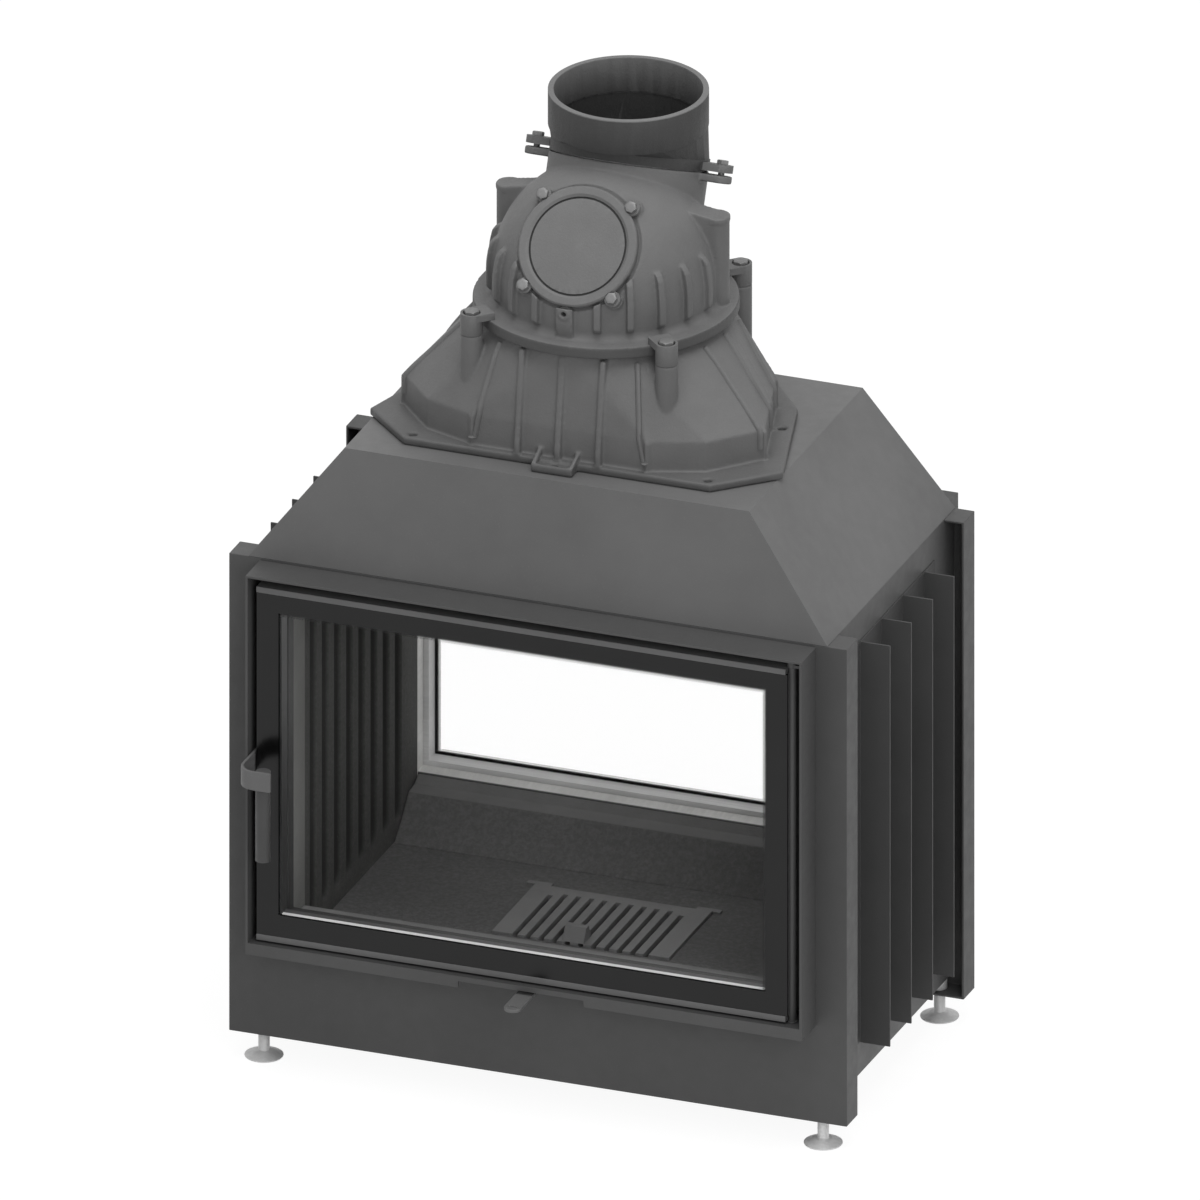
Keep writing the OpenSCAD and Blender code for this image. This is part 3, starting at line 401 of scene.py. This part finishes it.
def glass_material(name, side):
    """Ceramic glass with a printed black border and a row of dots where the print ends."""
    s = Shader(name)
    x, y, z = s.axes()
    x = s.math("MULTIPLY", x, side)
    (left, right), (low, high) = PRINT_SIDES, PRINT_LEVELS
    inside = s.both(s.between(x, left, right), s.between(z, low, high))
    across, up = [s.math("SUBTRACT", s.math("FRACT", s.math("DIVIDE", v, DOT_PITCH)), 0.5) for v in (x, z)]
    edge = s.math("MINIMUM", s.math("SUBTRACT", x, left), s.math("SUBTRACT", right, x))
    edge = s.math("MINIMUM", edge, s.math("SUBTRACT", high, z))
    if side < 0:
        edge = s.math("MINIMUM", edge, s.math("SUBTRACT", z, low))
    size = s.span(edge, 0.0, DOT_FADE, 0.5, 0.05)
    dots = s.both(s.math("LESS_THAN", s.reach(across, up), size), s.math("LESS_THAN", edge, DOT_FADE))
    printed = s.math("MAXIMUM", s.math("SUBTRACT", 1.0, inside), dots)
    s.link(s.span(printed, 0.0, 1.0, 0.012, 1.0), s.main.inputs["Alpha"])
    smear = s.noise(14.0, 4.0, 0.6)
    clouded = s.mix(s.span(smear, 0.4, 0.7), tone(0.002), tone(0.004))
    s.link(s.mix(printed, tone(0.02), clouded), s.main.inputs["Base Color"])
    s.link(s.span(smear, 0.35, 0.7, 0.17, 0.26), s.main.inputs["Roughness"])
    s.main.inputs["IOR"].default_value = 1.47
    s.main.inputs["Specular IOR Level"].default_value = 0.36
    return s.material


LOOKS = {
    "casing": paint("casing_paint", grey(77)),
    "side": paint("side_paint", grey(88)),
    "fin": paint("fin_paint", grey(71)),
    # The surround's top faces are painted darker: painted shade.
    "surround": paint("surround_paint", grey(78), top=grey(68)),
    "hood": paint("hood_paint", grey(99)),
    "rail": paint("rail_paint", grey(100), 0.45),
    "door": paint("door_paint", grey(74), 0.5),
    "handle": paint("handle_paint", grey(105)),
    "grip": paint("grip_paint", grey(74)),
    "cast": casting("cast_paint", grey(101)),
    # The upright edge of the dome's flange is painted darker: painted shade.
    "dome": casting("dome_paint", grey(101), marks=[(dome_rim_shade, grey(74))]),
    "transition": casting("transition_paint", grey(101), marks=[(base_flange, grey(87))]),
    # The cover's groove is painted near-black: painted shade in the groove.
    "cover": casting("cover_paint", grey(104), marks=[(cover_groove_shade, grey(34))]),
    "outlet": casting("outlet_paint", grey(57), marks=[
        (outlet_lugs, grey(100)), (outlet_inside, grey(92)), (outlet_rim, grey(104))]),
    "grate": casting("grate_iron", grey(138), 0.55),
    # The rear jamb's near-white steel is painted light and the front jamb's dark grey below is painted
    # shade: both jambs are one material, lit differently.
    "jamb": steel("jamb_steel", 0.9, 0.5, 0.05, tint=(1.0, 1.0, 0.98), brush=(1, 0.03, 1),
                  dull=(darkened_step_foot, grey(90))),
    "front_jamb": casting("front_jamb_painted_shade", grey(62)),
    # Front door frame: the inner walls round the opening are painted dark as shade, the front half of the
    # lower wall has a lighter tone, and its edge by the glass is a painted highlight.
    "front_frame": casting("front_frame_paint", grey(80), 0.5, marks=[
        (door_opening, grey(60)), (low_band, grey(88)), (low_strip_highlight, grey(245))]),
    # Rear door frame: the walls and face round the opening are near-white steel as painted light; the rest
    # carries the door paint.
    "rear_frame": steel("rear_frame_steel_painted_light", 0.9, 0.5, 0.05, brush=(0.03, 1, 1),
                        coat=(outside_opening, grey(74))),
    "zinc": steel("zinc_plate", grey(232), 0.45, 0.2, brush=(1, 1, 0.2)),
    "bolt": steel("dulled_zinc", grey(122), 0.5, 0.3),
    # Near-black steel for the sunken casting bolts and the sensor plug: painted shade in their holes.
    "shade_steel": steel("steel_painted_shade", grey(60), 0.55, 0.3),
    "slab": refractory("hearth_stone", grey(128), depth=0.0009, marks=[(sill_ledge, grey(135))]),
    # The flutes' depths are painted dark: painted shade in the grooves.
    "lining": refractory("lining_stone", grey(90), (1, 1, 0.97), depth=0.0006, scale=1.3, cloudy=0.1, marks=[
        (lining_margin, grey(122)), (lining_groove_shade, grey(54))]),
    "vermiculite": refractory("vermiculite", 0.35, (1.0, 0.93, 0.8)),
    "rope": rope_material("rope_fibre", 0.42, (1.0, 0.98, 0.93)),
    # The rear door's rope is the same rope painted lighter: painted light.
    "rope_painted_light": rope_material("rope_fibre_painted_light", 0.82, (1.0, 0.99, 0.97), 0.2),
    "front_glass": glass_material("front_glass_print", 1),
    "rear_glass": glass_material("rear_glass_print", -1),
}

NODE_LOOKS = {
    "front_panel": "casing", "rear_panel": "casing", "base_tray": "casing",
    "left_side_wall": "side", "right_side_wall": "side", "left_fins": "fin", "right_fins": "fin",
    "air_inlet_collar": "zinc", "hearth_slab": "slab", "ash_well": "door",
    "left_lining": "lining", "right_lining": "lining", "front_sill": "slab", "rear_sill": "slab",
    "front_jamb": "front_jamb", "rear_jamb": "jamb",
    "front_surround": "surround", "rear_surround": "surround",
    "front_catch_pin": "surround", "rear_catch_pin": "surround",
    "front_hinge_bracket": "door", "rear_hinge_bracket": "door", "baffle_plate": "vermiculite",
    "hood": "hood", "transition_casting": "transition", "casting_bolts": "shade_steel", "clamp_jaws": "cast",
    "clamp_bolts": "bolt", "foot_nuts": "zinc", "dome_casting": "dome", "inspection_gasket": "rope",
    "inspection_cover": "cover", "cover_bolts": "bolt", "outlet_elbow": "outlet", "outlet_bolts": "bolt",
    "front_door_frame": "front_frame", "rear_door_frame": "rear_frame", "front_door_glass": "front_glass",
    "rear_door_glass": "rear_glass", "front_door_rails": "rail", "rear_door_rails": "rail",
    "front_door_seal": "rope", "rear_door_seal": "rope", "front_hinge_rod": "door",
    "rear_hinge_rod": "door", "front_latch_pin": "door", "rear_latch_pin": "door",
    "front_handle_lever": "handle", "rear_handle_lever": "handle", "front_handle_grip": "grip",
    "rear_handle_grip": "grip", "air_lever": "handle", "grate": "grate", "ash_pan": "rail",
    "foot_front_left": "zinc", "foot_front_right": "zinc",
    "foot_rear_left": "zinc", "foot_rear_right": "zinc",
}

for name, look in NODE_LOOKS.items():
    slots = nodes[name].data.materials
    slots.clear()
    slots.append(LOOKS[look])

# Widths of the rounded edges of CAD nodes, in millimetres

SOFT_EDGES = {
    "front_panel": 1.0, "rear_panel": 1.0, "left_side_wall": 0.8, "right_side_wall": 0.8,
    "left_fins": 0.5, "right_fins": 0.5, "base_tray": 0.6, "front_surround": 1.0, "rear_surround": 1.0,
    "front_jamb": 0.8, "rear_jamb": 0.8, "hood": 1.6, "front_door_frame": 0.8, "rear_door_frame": 0.8,
    "front_door_glass": 0.6, "rear_door_glass": 0.6, "front_door_rails": 0.8, "rear_door_rails": 0.8,
    "front_handle_lever": 0.6, "rear_handle_lever": 0.6, "front_handle_grip": 2.2, "rear_handle_grip": 2.2,
    "air_lever": 0.7, "grate": 1.2, "ash_pan": 0.7, "hearth_slab": 1.5, "front_sill": 2.5, "rear_sill": 2.5,
    "baffle_plate": 1.5, "ash_well": 0.6, "clamp_jaws": 1.6,
    "inspection_cover": 0.5, "outlet_elbow": 1.6, "air_inlet_collar": 0.5, "foot_nuts": 0.5,
    "front_hinge_bracket": 0.5, "rear_hinge_bracket": 0.5, "front_hinge_rod": 0.5, "rear_hinge_rod": 0.5,
    "front_latch_pin": 0.4, "rear_latch_pin": 0.4, "front_catch_pin": 0.4, "rear_catch_pin": 0.4,
    "casting_bolts": 0.5,
}


def soften(node, width):
    """Rounds the sharp edges of a CAD node with modifiers; its own mesh stays."""
    weld = nodes[node].modifiers.new("weld", "WELD")
    weld.merge_threshold = 0.00001
    bevel = nodes[node].modifiers.new("bevel", "BEVEL")
    bevel.width = width * MM
    bevel.segments = 2
    bevel.limit_method = "ANGLE"
    bevel.angle_limit = math.radians(32)
    bevel.harden_normals = True
    bevel.use_clamp_overlap = True


for name, width in SOFT_EDGES.items():
    soften(name, width)

# Pieces modelled in full


def new_piece(name, bm, look, body, stands_for=(), sharp=40):
    """Object of a mesh that rides a body and stands for CAD nodes."""
    mesh = bpy.data.meshes.new(name)
    bmesh.ops.recalc_face_normals(bm, faces=bm.faces[:])
    bm.to_mesh(mesh)
    bm.free()
    mesh.materials.append(LOOKS[look])
    mesh.shade_smooth()
    mesh.set_sharp_from_angle(angle=math.radians(sharp))
    obj = bpy.data.objects.new(name, mesh)
    scene.collection.objects.link(obj)
    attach(obj, body)
    if stands_for:
        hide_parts(*stands_for)
    return obj


def tube(bm, rows, loop=False):
    """Skin over rows of points, closed at both ends or joined into a loop."""
    rings = [[bm.verts.new(point) for point in row] for row in rows]
    count = len(rows[0])
    pairs = list(zip(rings, rings[1:]))
    if loop:
        pairs.append((rings[-1], rings[0]))
    for a, b in pairs:
        for i in range(count):
            j = (i + 1) % count
            bm.faces.new((a[i], a[j], b[j], b[i]))
    if not loop:
        bm.faces.new(list(reversed(rings[0])))
        bm.faces.new(rings[-1])


def circle_points(radius, z, count):
    """Points of a level circle at a height."""
    turns = [2 * math.pi * i / count for i in range(count)]
    return [Vector((radius * math.cos(t), radius * math.sin(t), z)) for t in turns]


def hex_radius(across, turn):
    """Distance from the middle of a hexagon to its edge at a turn, with a corner at turn 0."""
    return across / 2 / math.cos((turn + math.pi / 6) % (math.pi / 3) - math.pi / 6)


def hex_bolt(bm, place, across, head, shank_r, shank_l, count=48):
    """Bolt with a chamfered hexagon head standing on the XY plane of its place, in millimetres."""
    turns = [2 * math.pi * i / count for i in range(count)]
    flat = across / 2
    radii = [hex_radius(across, t) for t in turns]
    shank = [(shank_r - 0.8, -shank_l), (shank_r, -shank_l + 0.8), (shank_r, -0.2), (shank_r, 0)]
    foot = [Vector((0.995 * r * math.cos(t), 0.995 * r * math.sin(t), 0.4)) for r, t in zip(radii, turns)]
    top = [Vector((r * math.cos(t), r * math.sin(t), head - 0.25 - (r - flat) * 0.6))
           for r, t in zip(radii, turns)]
    rows = [circle_points(r, z, count) for r, z in shank + [(flat * 0.98, 0), (flat * 0.98, 0.35)]]
    rows += [foot, top, circle_points(flat * 0.95, head, count), circle_points(flat * 0.5, head, count)]
    tube(bm, [[place @ (point * MM) for point in row] for row in rows])


def at(x, y, z, tilt=0.0, turn=0.0):
    """Matrix of a place in millimetres, turned about Z and then tilted about X, in degrees."""
    return (Matrix.Translation(Vector((x, y, z)) * MM) @ Matrix.Rotation(math.radians(turn), 4, "Z")
            @ Matrix.Rotation(math.radians(tilt), 4, "X"))


JOINT = at(0, JOINT_Y, JOINT_Z, JOINT_TILT)
COVER = at(0, DOME_Y, DRUM_Z, COVER_TILT)

bm = bmesh.new()
for i in range(4):
    turn = math.radians(45 + 90 * i)
    x, y = CLAMP_R * math.cos(turn), DOME_Y + CLAMP_R * math.sin(turn)
    hex_bolt(bm, at(x, y, CLAMP_TOP, 0, 20 + 37 * i), across=17, head=8, shank_r=5, shank_l=66)
new_piece("clamp_bolts_fine", bm, "bolt", "casing", ["clamp_bolts"])

bm = bmesh.new()
for i, (sx, sy) in enumerate([(-1, -1), (1, -1), (-1, 1), (1, 1)]):
    place = at(COVER_EAR * sx, COVER_EAR * sy, COVER_SEAT + 8, 0, 11 + 23 * i)
    hex_bolt(bm, COVER @ place, across=13, head=6, shank_r=3.8, shank_l=20)
new_piece("cover_bolts_fine", bm, "bolt", "dome", ["cover_bolts"])

bm = bmesh.new()
for side in (-1, 1):
    place = at(JOINT_LUG * side, 0, 11.5, 0, 8 * side)
    hex_bolt(bm, JOINT @ place, across=13, head=5.5, shank_r=4, shank_l=23)
new_piece("outlet_bolts_fine", bm, "bolt", "dome", ["outlet_bolts"])


def rope_loop(name, body, node, points, across, inward, width, thick, look="rope"):
    """Flattened braided rope along a closed path, in place of the plain seal."""
    bm = bmesh.new()
    count = 14
    rows = []
    run = 0.0
    total = sum((points[(i + 1) % len(points)] - points[i]).length for i in range(len(points)))
    strands = max(8, round(total / 0.009))
    for i, point in enumerate(points):
        row = []
        for k in range(count):
            t = 2 * math.pi * k / count
            phase = 2 * math.pi * strands * run / total
            weave = 1 - 0.07 * (1 - abs(math.sin(phase / 2 + t))) - 0.07 * (1 - abs(math.sin(phase / 2 - t)))
            row.append(point + inward[i] * (math.cos(t) * width / 2 * weave)
                       + across[i] * (math.sin(t) * thick / 2 * weave))
        rows.append(row)
        run += (points[(i + 1) % len(points)] - point).length
    tube(bm, rows, loop=True)
    new_piece(name, bm, look, body, [node], sharp=80)


def rounded_path(x0, x1, z0, z1, radius, step):
    """Points and inward directions along a rounded rectangle in the XZ plane."""
    points, inward = [], []
    corners = [((x1 - radius, z1 - radius), 0), ((x0 + radius, z1 - radius), 90),
               ((x0 + radius, z0 + radius), 180), ((x1 - radius, z0 + radius), 270)]
    arc = []
    for (cx, cz), start in corners:
        for k in range(7):
            t = math.radians(start + 15 * k)
            arc.append((Vector((cx + radius * math.cos(t), 0, cz + radius * math.sin(t))),
                        Vector((-math.cos(t), 0, -math.sin(t)))))
    for i, (a, na) in enumerate(arc):
        b, nb = arc[(i + 1) % len(arc)]
        parts = max(1, round((b - a).length / step))
        for k in range(parts):
            points.append(a.lerp(b, k / parts))
            inward.append(na.lerp(nb, k / parts).normalized())
    return points, inward


def door_rope(name, body, node, side, look):
    """Rope round a door; side is -1 for the rear door."""
    half, low, high, ahead, radius, step = 0.330, 0.208, 0.639, -0.2348, 0.008, 0.0015
    points, inward = rounded_path(-half, half, low, high, radius, step)
    spin = Matrix.Rotation(math.pi if side < 0 else 0.0, 3, "Z")
    points = [spin @ (p + Vector((0, ahead, 0))) for p in points]
    inward = [spin @ v for v in inward]
    across = [spin @ Vector((0, 1, 0))] * len(points)
    rope_loop(name, body, node, points, across, inward, 0.012, 0.0029, look)


door_rope("front_door_rope", "front_door", "front_door_seal", 1, "rope")
# The rear rope takes the lighter copy of the rope, painted light.
door_rope("rear_door_rope", "rear_door", "rear_door_seal", -1, "rope_painted_light")

steps = 260
ring = [COVER @ (point * MM) for point in circle_points(68.5, COVER_SEAT + 0.5, steps)]
spin = COVER.to_3x3()
toward = [spin @ -point for point in circle_points(1, 0, steps)]
rope_loop("inspection_rope", "dome", "inspection_gasket", ring, [spin @ Vector((0, 0, 1))] * steps,
          toward, 0.013, 0.00098)


def fluted_lining(name, node, side):
    """Side lining with eight round flutes that run out softly at both ends, in millimetres."""
    face, back, half, low, high = 323.0, 353.0, 214.0, 152.5, 636.0
    pitch, wide, deep, foot, head = 42.0, 24.0, 11.0, 178.0, 620.0
    middles = [pitch * (i - 3.5) for i in range(8)]
    across = [-half, -half + 1.5]
    for middle in middles:
        across += [middle + wide / 2 * (k / 7 - 1) for k in range(15)]
    across += [half - 1.5, half]
    runout = [(foot + 22 * k / 6, math.sin(math.pi / 2 * k / 6)) for k in range(1, 7)]
    levels = [(low, 0.0), (foot, 0.0)] + runout
    levels += [(head - 8, 1.0), (head - 3, 0.7), (head, 0.0), (high, 0.0)]
    bm = bmesh.new()
    rows = []
    for z, share in levels:
        row = []
        for y in across:
            cut = max([0.0] + [1 - (2 * (y - middle) / wide) ** 2 for middle in middles])
            edge = 1.5 if abs(y) == half else 0.0
            row.append(Vector((side * (face + edge + deep * share * cut), y, z)))
        row += [Vector((side * back, half, z)), Vector((side * back, -half, z))]
        rows.append([p * MM for p in row])
    tube(bm, rows)
    new_piece(name, bm, "lining", "casing", [node], sharp=50)


fluted_lining("left_fluted_lining", "left_lining", -1)
fluted_lining("right_fluted_lining", "right_lining", 1)


def levelling_foot(name, node, x, y):
    """Foot with a domed disc and a cut thread."""
    bm = bmesh.new()
    count = 36
    rows = []
    for radius, z in [(22.6, 0), (23.7, 0.4), (24.15, 1.3), (24.0, 2.0), (21.5, 3.0), (17.5, 4.6), (14, 6.2),
                      (11.8, 7.4), (10.6, 7.9), (8.0, 8.0)]:
        rows.append(circle_points(radius, z, count))
    pitch, low, high, tip = 2.0, 8.4, 77.0, 78.0
    rounds = int((high - low) / pitch * 8)
    for k in range(rounds + 1):
        z = low + (high - low) * k / rounds
        row = []
        for i in range(count):
            share = (z / pitch - i / count) % 1.0
            depth = 0.62 * (1 - abs(2 * share - 1)) if z < high - 0.6 else 0.7
            radius = 7.22 - depth
            t = 2 * math.pi * i / count
            row.append(Vector((radius * math.cos(t), radius * math.sin(t), z)))
        rows.append(row)
    rows.append(circle_points(6.0, tip, count))
    shift = Vector((x, y, 0))
    tube(bm, [[(p + shift) * MM for p in row] for row in rows])
    new_piece(name, bm, "zinc", node, [node], sharp=50)


for name, x, y in [("front_left", -FOOT_X, -FOOT_Y), ("front_right", FOOT_X, -FOOT_Y),
                   ("rear_left", -FOOT_X, FOOT_Y), ("rear_right", FOOT_X, FOOT_Y)]:
    levelling_foot("levelling_foot_" + name, "foot_" + name, x, y)


def cast_copy(name, node, look, body, voxel, rounds):
    """Copy of a CAD casting with every edge and corner filleted, as a foundry pattern has them."""
    work = bpy.data.objects.new("work", nodes[node].data.copy())
    scene.collection.objects.link(work)
    bm = bmesh.new()
    bm.from_mesh(work.data)
    bmesh.ops.remove_doubles(bm, verts=bm.verts, dist=0.00001)
    bm.to_mesh(work.data)
    bm.free()
    remesh = work.modifiers.new("remesh", "REMESH")
    remesh.mode = "VOXEL"
    remesh.voxel_size = voxel
    smooth = work.modifiers.new("smooth", "SMOOTH")
    smooth.factor = 0.5
    smooth.iterations = rounds
    bpy.context.view_layer.update()
    mesh = bpy.data.meshes.new_from_object(work.evaluated_get(bpy.context.evaluated_depsgraph_get()))
    bpy.data.objects.remove(work)
    mesh.name = name
    mesh.materials.clear()
    mesh.materials.append(LOOKS[look])
    mesh.shade_smooth()
    obj = bpy.data.objects.new(name, mesh)
    scene.collection.objects.link(obj)
    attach(obj, body)
    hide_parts(node)


cast_copy("dome_cast", "dome_casting", "dome", "dome", 0.0015, 4)
cast_copy("transition_cast", "transition_casting", "transition", "casing", 0.0018, 4)

# Steps between the raised fields of the transition casting, in millimetres
FOLDS = [
    [(90, -113.5, 968), (105, -147, 884), (114, -148.5, 843)],
    [(151, -40, 969), (166, -43, 953), (232, -66, 846)],
    [(159, 5, 969), (200, -6, 921), (219, 2, 846)],
    [(153, 72, 960), (184, 62, 914), (203, 56, 846)],
]
FOLD_SECTION = [(-3.2, -2.0), (-2.9, 1.2), (-2.2, 3.0), (-1.0, 3.6), (1.0, 3.6), (2.4, 2.6),
                (4.0, 0.6), (4.4, -2.0)]


def casting_folds():
    """Low rounded ribs that follow the casting's surface, on both sides."""
    mesh = nodes["transition_casting"].data
    tree = BVHTree.FromPolygons([v.co for v in mesh.vertices], [p.vertices[:] for p in mesh.polygons])
    bm = bmesh.new()
    for side in (-1, 1):
        for fold in FOLDS:
            rough = []
            for a, b in zip(fold, fold[1:]):
                start, end = Vector(a) * MM, Vector(b) * MM
                parts = round((end - start).length / 0.004)
                rough += [start.lerp(end, k / parts) for k in range(parts)]
            rows = []
            for point, after in zip(rough, rough[1:]):
                out = Vector((point.x, point.y - DOME_Y * MM, 0)).normalized() + Vector((0, 0, 0.8))
                hit, normal, _, gap = tree.ray_cast(point + out * 0.06, -out)
                if hit is None or gap > 0.12:
                    continue
                across = (after - point).normalized().cross(normal).normalized()
                rows.append([hit + across * (u * MM) + normal * (h * MM) for u, h in FOLD_SECTION])
            flip = Vector((side, 1, 1))
            tube(bm, [[p * flip for p in row] for row in rows])
    piece = new_piece("casting_folds", bm, "cast", "casing")


casting_folds()

BOSS = at(0, 0, DRUM_Z, 90)


def boss_part(section, count, loop=False):
    """Section of radii and distances in front of the flue axis, turned about the sensor boss's axis."""
    bm = bmesh.new()
    rows = [[BOSS @ (p * MM) for p in circle_points(radius, ahead, count)] for radius, ahead in section]
    tube(bm, rows, loop)
    return bm


RING_SECTION = [(8.3, 121), (8.3, 126.6), (7.9, 127.0), (4.5, 127.0), (3.9, 126.5), (3.9, 121)]
PLUG_SECTION = [(3.7, 121), (3.7, 125.6), (3.3, 126.0), (1.8, 126.0), (1.6, 124.5), (1.5, 123.5)]
piece = new_piece("sensor_ring", boss_part(RING_SECTION, 40, loop=True), "cover", "dome")
# The plug is near-black as painted shade in the bore.
piece = new_piece("sensor_plug", boss_part(PLUG_SECTION, 24), "shade_steel", "dome")

# Camera, light and floor

camera = bpy.data.objects.new("camera", bpy.data.cameras.new("camera"))
scene.collection.objects.link(camera)
camera.data.type = "ORTHO"
camera.data.ortho_scale = 1.2 / PX_PER_MM
camera.data.clip_start = 0.1
camera.data.clip_end = 100
camera.location = CAMERA_TARGET + CAMERA_BACK * CAMERA_DISTANCE
camera.rotation_mode = "QUATERNION"
camera.rotation_quaternion = (-CAMERA_BACK).to_track_quat("-Z", "Y")
scene.camera = camera
scene.view_settings.view_transform = "Standard"


LIT_POINT = (0, 0, 0.5)
WHITE = (1, 1, 1, 1)
WORLD_FILL = 0.42
FLOOR_HALF, FLOOR_GLOW, FLOOR_SHARE = 14, 1.13, 0.82


def area_light(name, place, target, size, power):
    """Round lamp that looks at a target."""
    light = bpy.data.lights.new(name, "AREA")
    light.shape = "DISK"
    light.size = size
    light.energy = power
    lamp = bpy.data.objects.new(name, light)
    scene.collection.objects.link(lamp)
    lamp.location = place
    direction = Vector(target) - Vector(place)
    lamp.rotation_euler = direction.to_track_quat("-Z", "Y").to_euler()


area_light("top_light", (0.4, -0.6, 4.2), LIT_POINT, size=3.0, power=95)
area_light("front_light", (2.6, -3.6, 2.4), LIT_POINT, size=2.5, power=40)


def coloured(tree, kind, colour, strength=None):
    """New node of a colour and, where it has one, a strength."""
    node = tree.nodes.new(kind)
    node.inputs[0].default_value = colour
    if strength is not None:
        node.inputs[1].default_value = strength
    return node


def rays_of(tree, *kinds):
    """1 for a ray of any of the given kinds, 0 for others."""
    path = tree.nodes.new("ShaderNodeLightPath")
    total = path.outputs[kinds[0]]
    for kind in kinds[1:]:
        most = tree.nodes.new("ShaderNodeMath")
        most.operation = "MAXIMUM"
        tree.links.new(total, most.inputs[0])
        tree.links.new(path.outputs[kind], most.inputs[1])
        total = most.outputs[0]
    return total


def pick_shader(tree, share, first, second, output):
    """Shows the second shader by a share and the first by the rest."""
    pick = tree.nodes.new("ShaderNodeMixShader")
    tree.links.new(share, pick.inputs[0])
    tree.links.new(first.outputs[0], pick.inputs[1])
    tree.links.new(second.outputs[0], pick.inputs[2])
    tree.links.new(pick.outputs[0], tree.nodes.new(output).inputs[0])


world = bpy.data.worlds.new("studio")
scene.world = world
world.use_nodes = True
tree = world.node_tree
tree.nodes.clear()
fill = coloured(tree, "ShaderNodeBackground", WHITE, WORLD_FILL)
seen = coloured(tree, "ShaderNodeBackground", WHITE, 1.0)
rays = rays_of(tree, "Is Camera Ray", "Is Glossy Ray", "Is Transmission Ray")
pick_shader(tree, rays, fill, seen, "ShaderNodeOutputWorld")


def make_floor():
    """Pale floor that shows white and keeps the object's shadow."""
    mesh = bpy.data.meshes.new("floor")
    half = FLOOR_HALF
    corners = [(-half, -half, 0), (half, -half, 0), (half, half, 0), (-half, half, 0)]
    mesh.from_pydata(corners, [], [(0, 1, 2, 3)])
    floor = bpy.data.objects.new("floor", mesh)
    scene.collection.objects.link(floor)
    material = bpy.data.materials.new("floor_white")
    material.use_nodes = True
    tree = material.node_tree
    tree.nodes.clear()
    diffuse = coloured(tree, "ShaderNodeBsdfDiffuse", (0.8, 0.8, 0.8, 1))
    glow = coloured(tree, "ShaderNodeEmission", WHITE, FLOOR_GLOW)
    share = tree.nodes.new("ShaderNodeMath")
    share.operation = "MULTIPLY"
    share.inputs[1].default_value = FLOOR_SHARE
    tree.links.new(rays_of(tree, "Is Camera Ray", "Is Glossy Ray"), share.inputs[0])
    pick_shader(tree, share.outputs[0], diffuse, glow, "ShaderNodeOutputMaterial")
    mesh.materials.append(material)


make_floor()
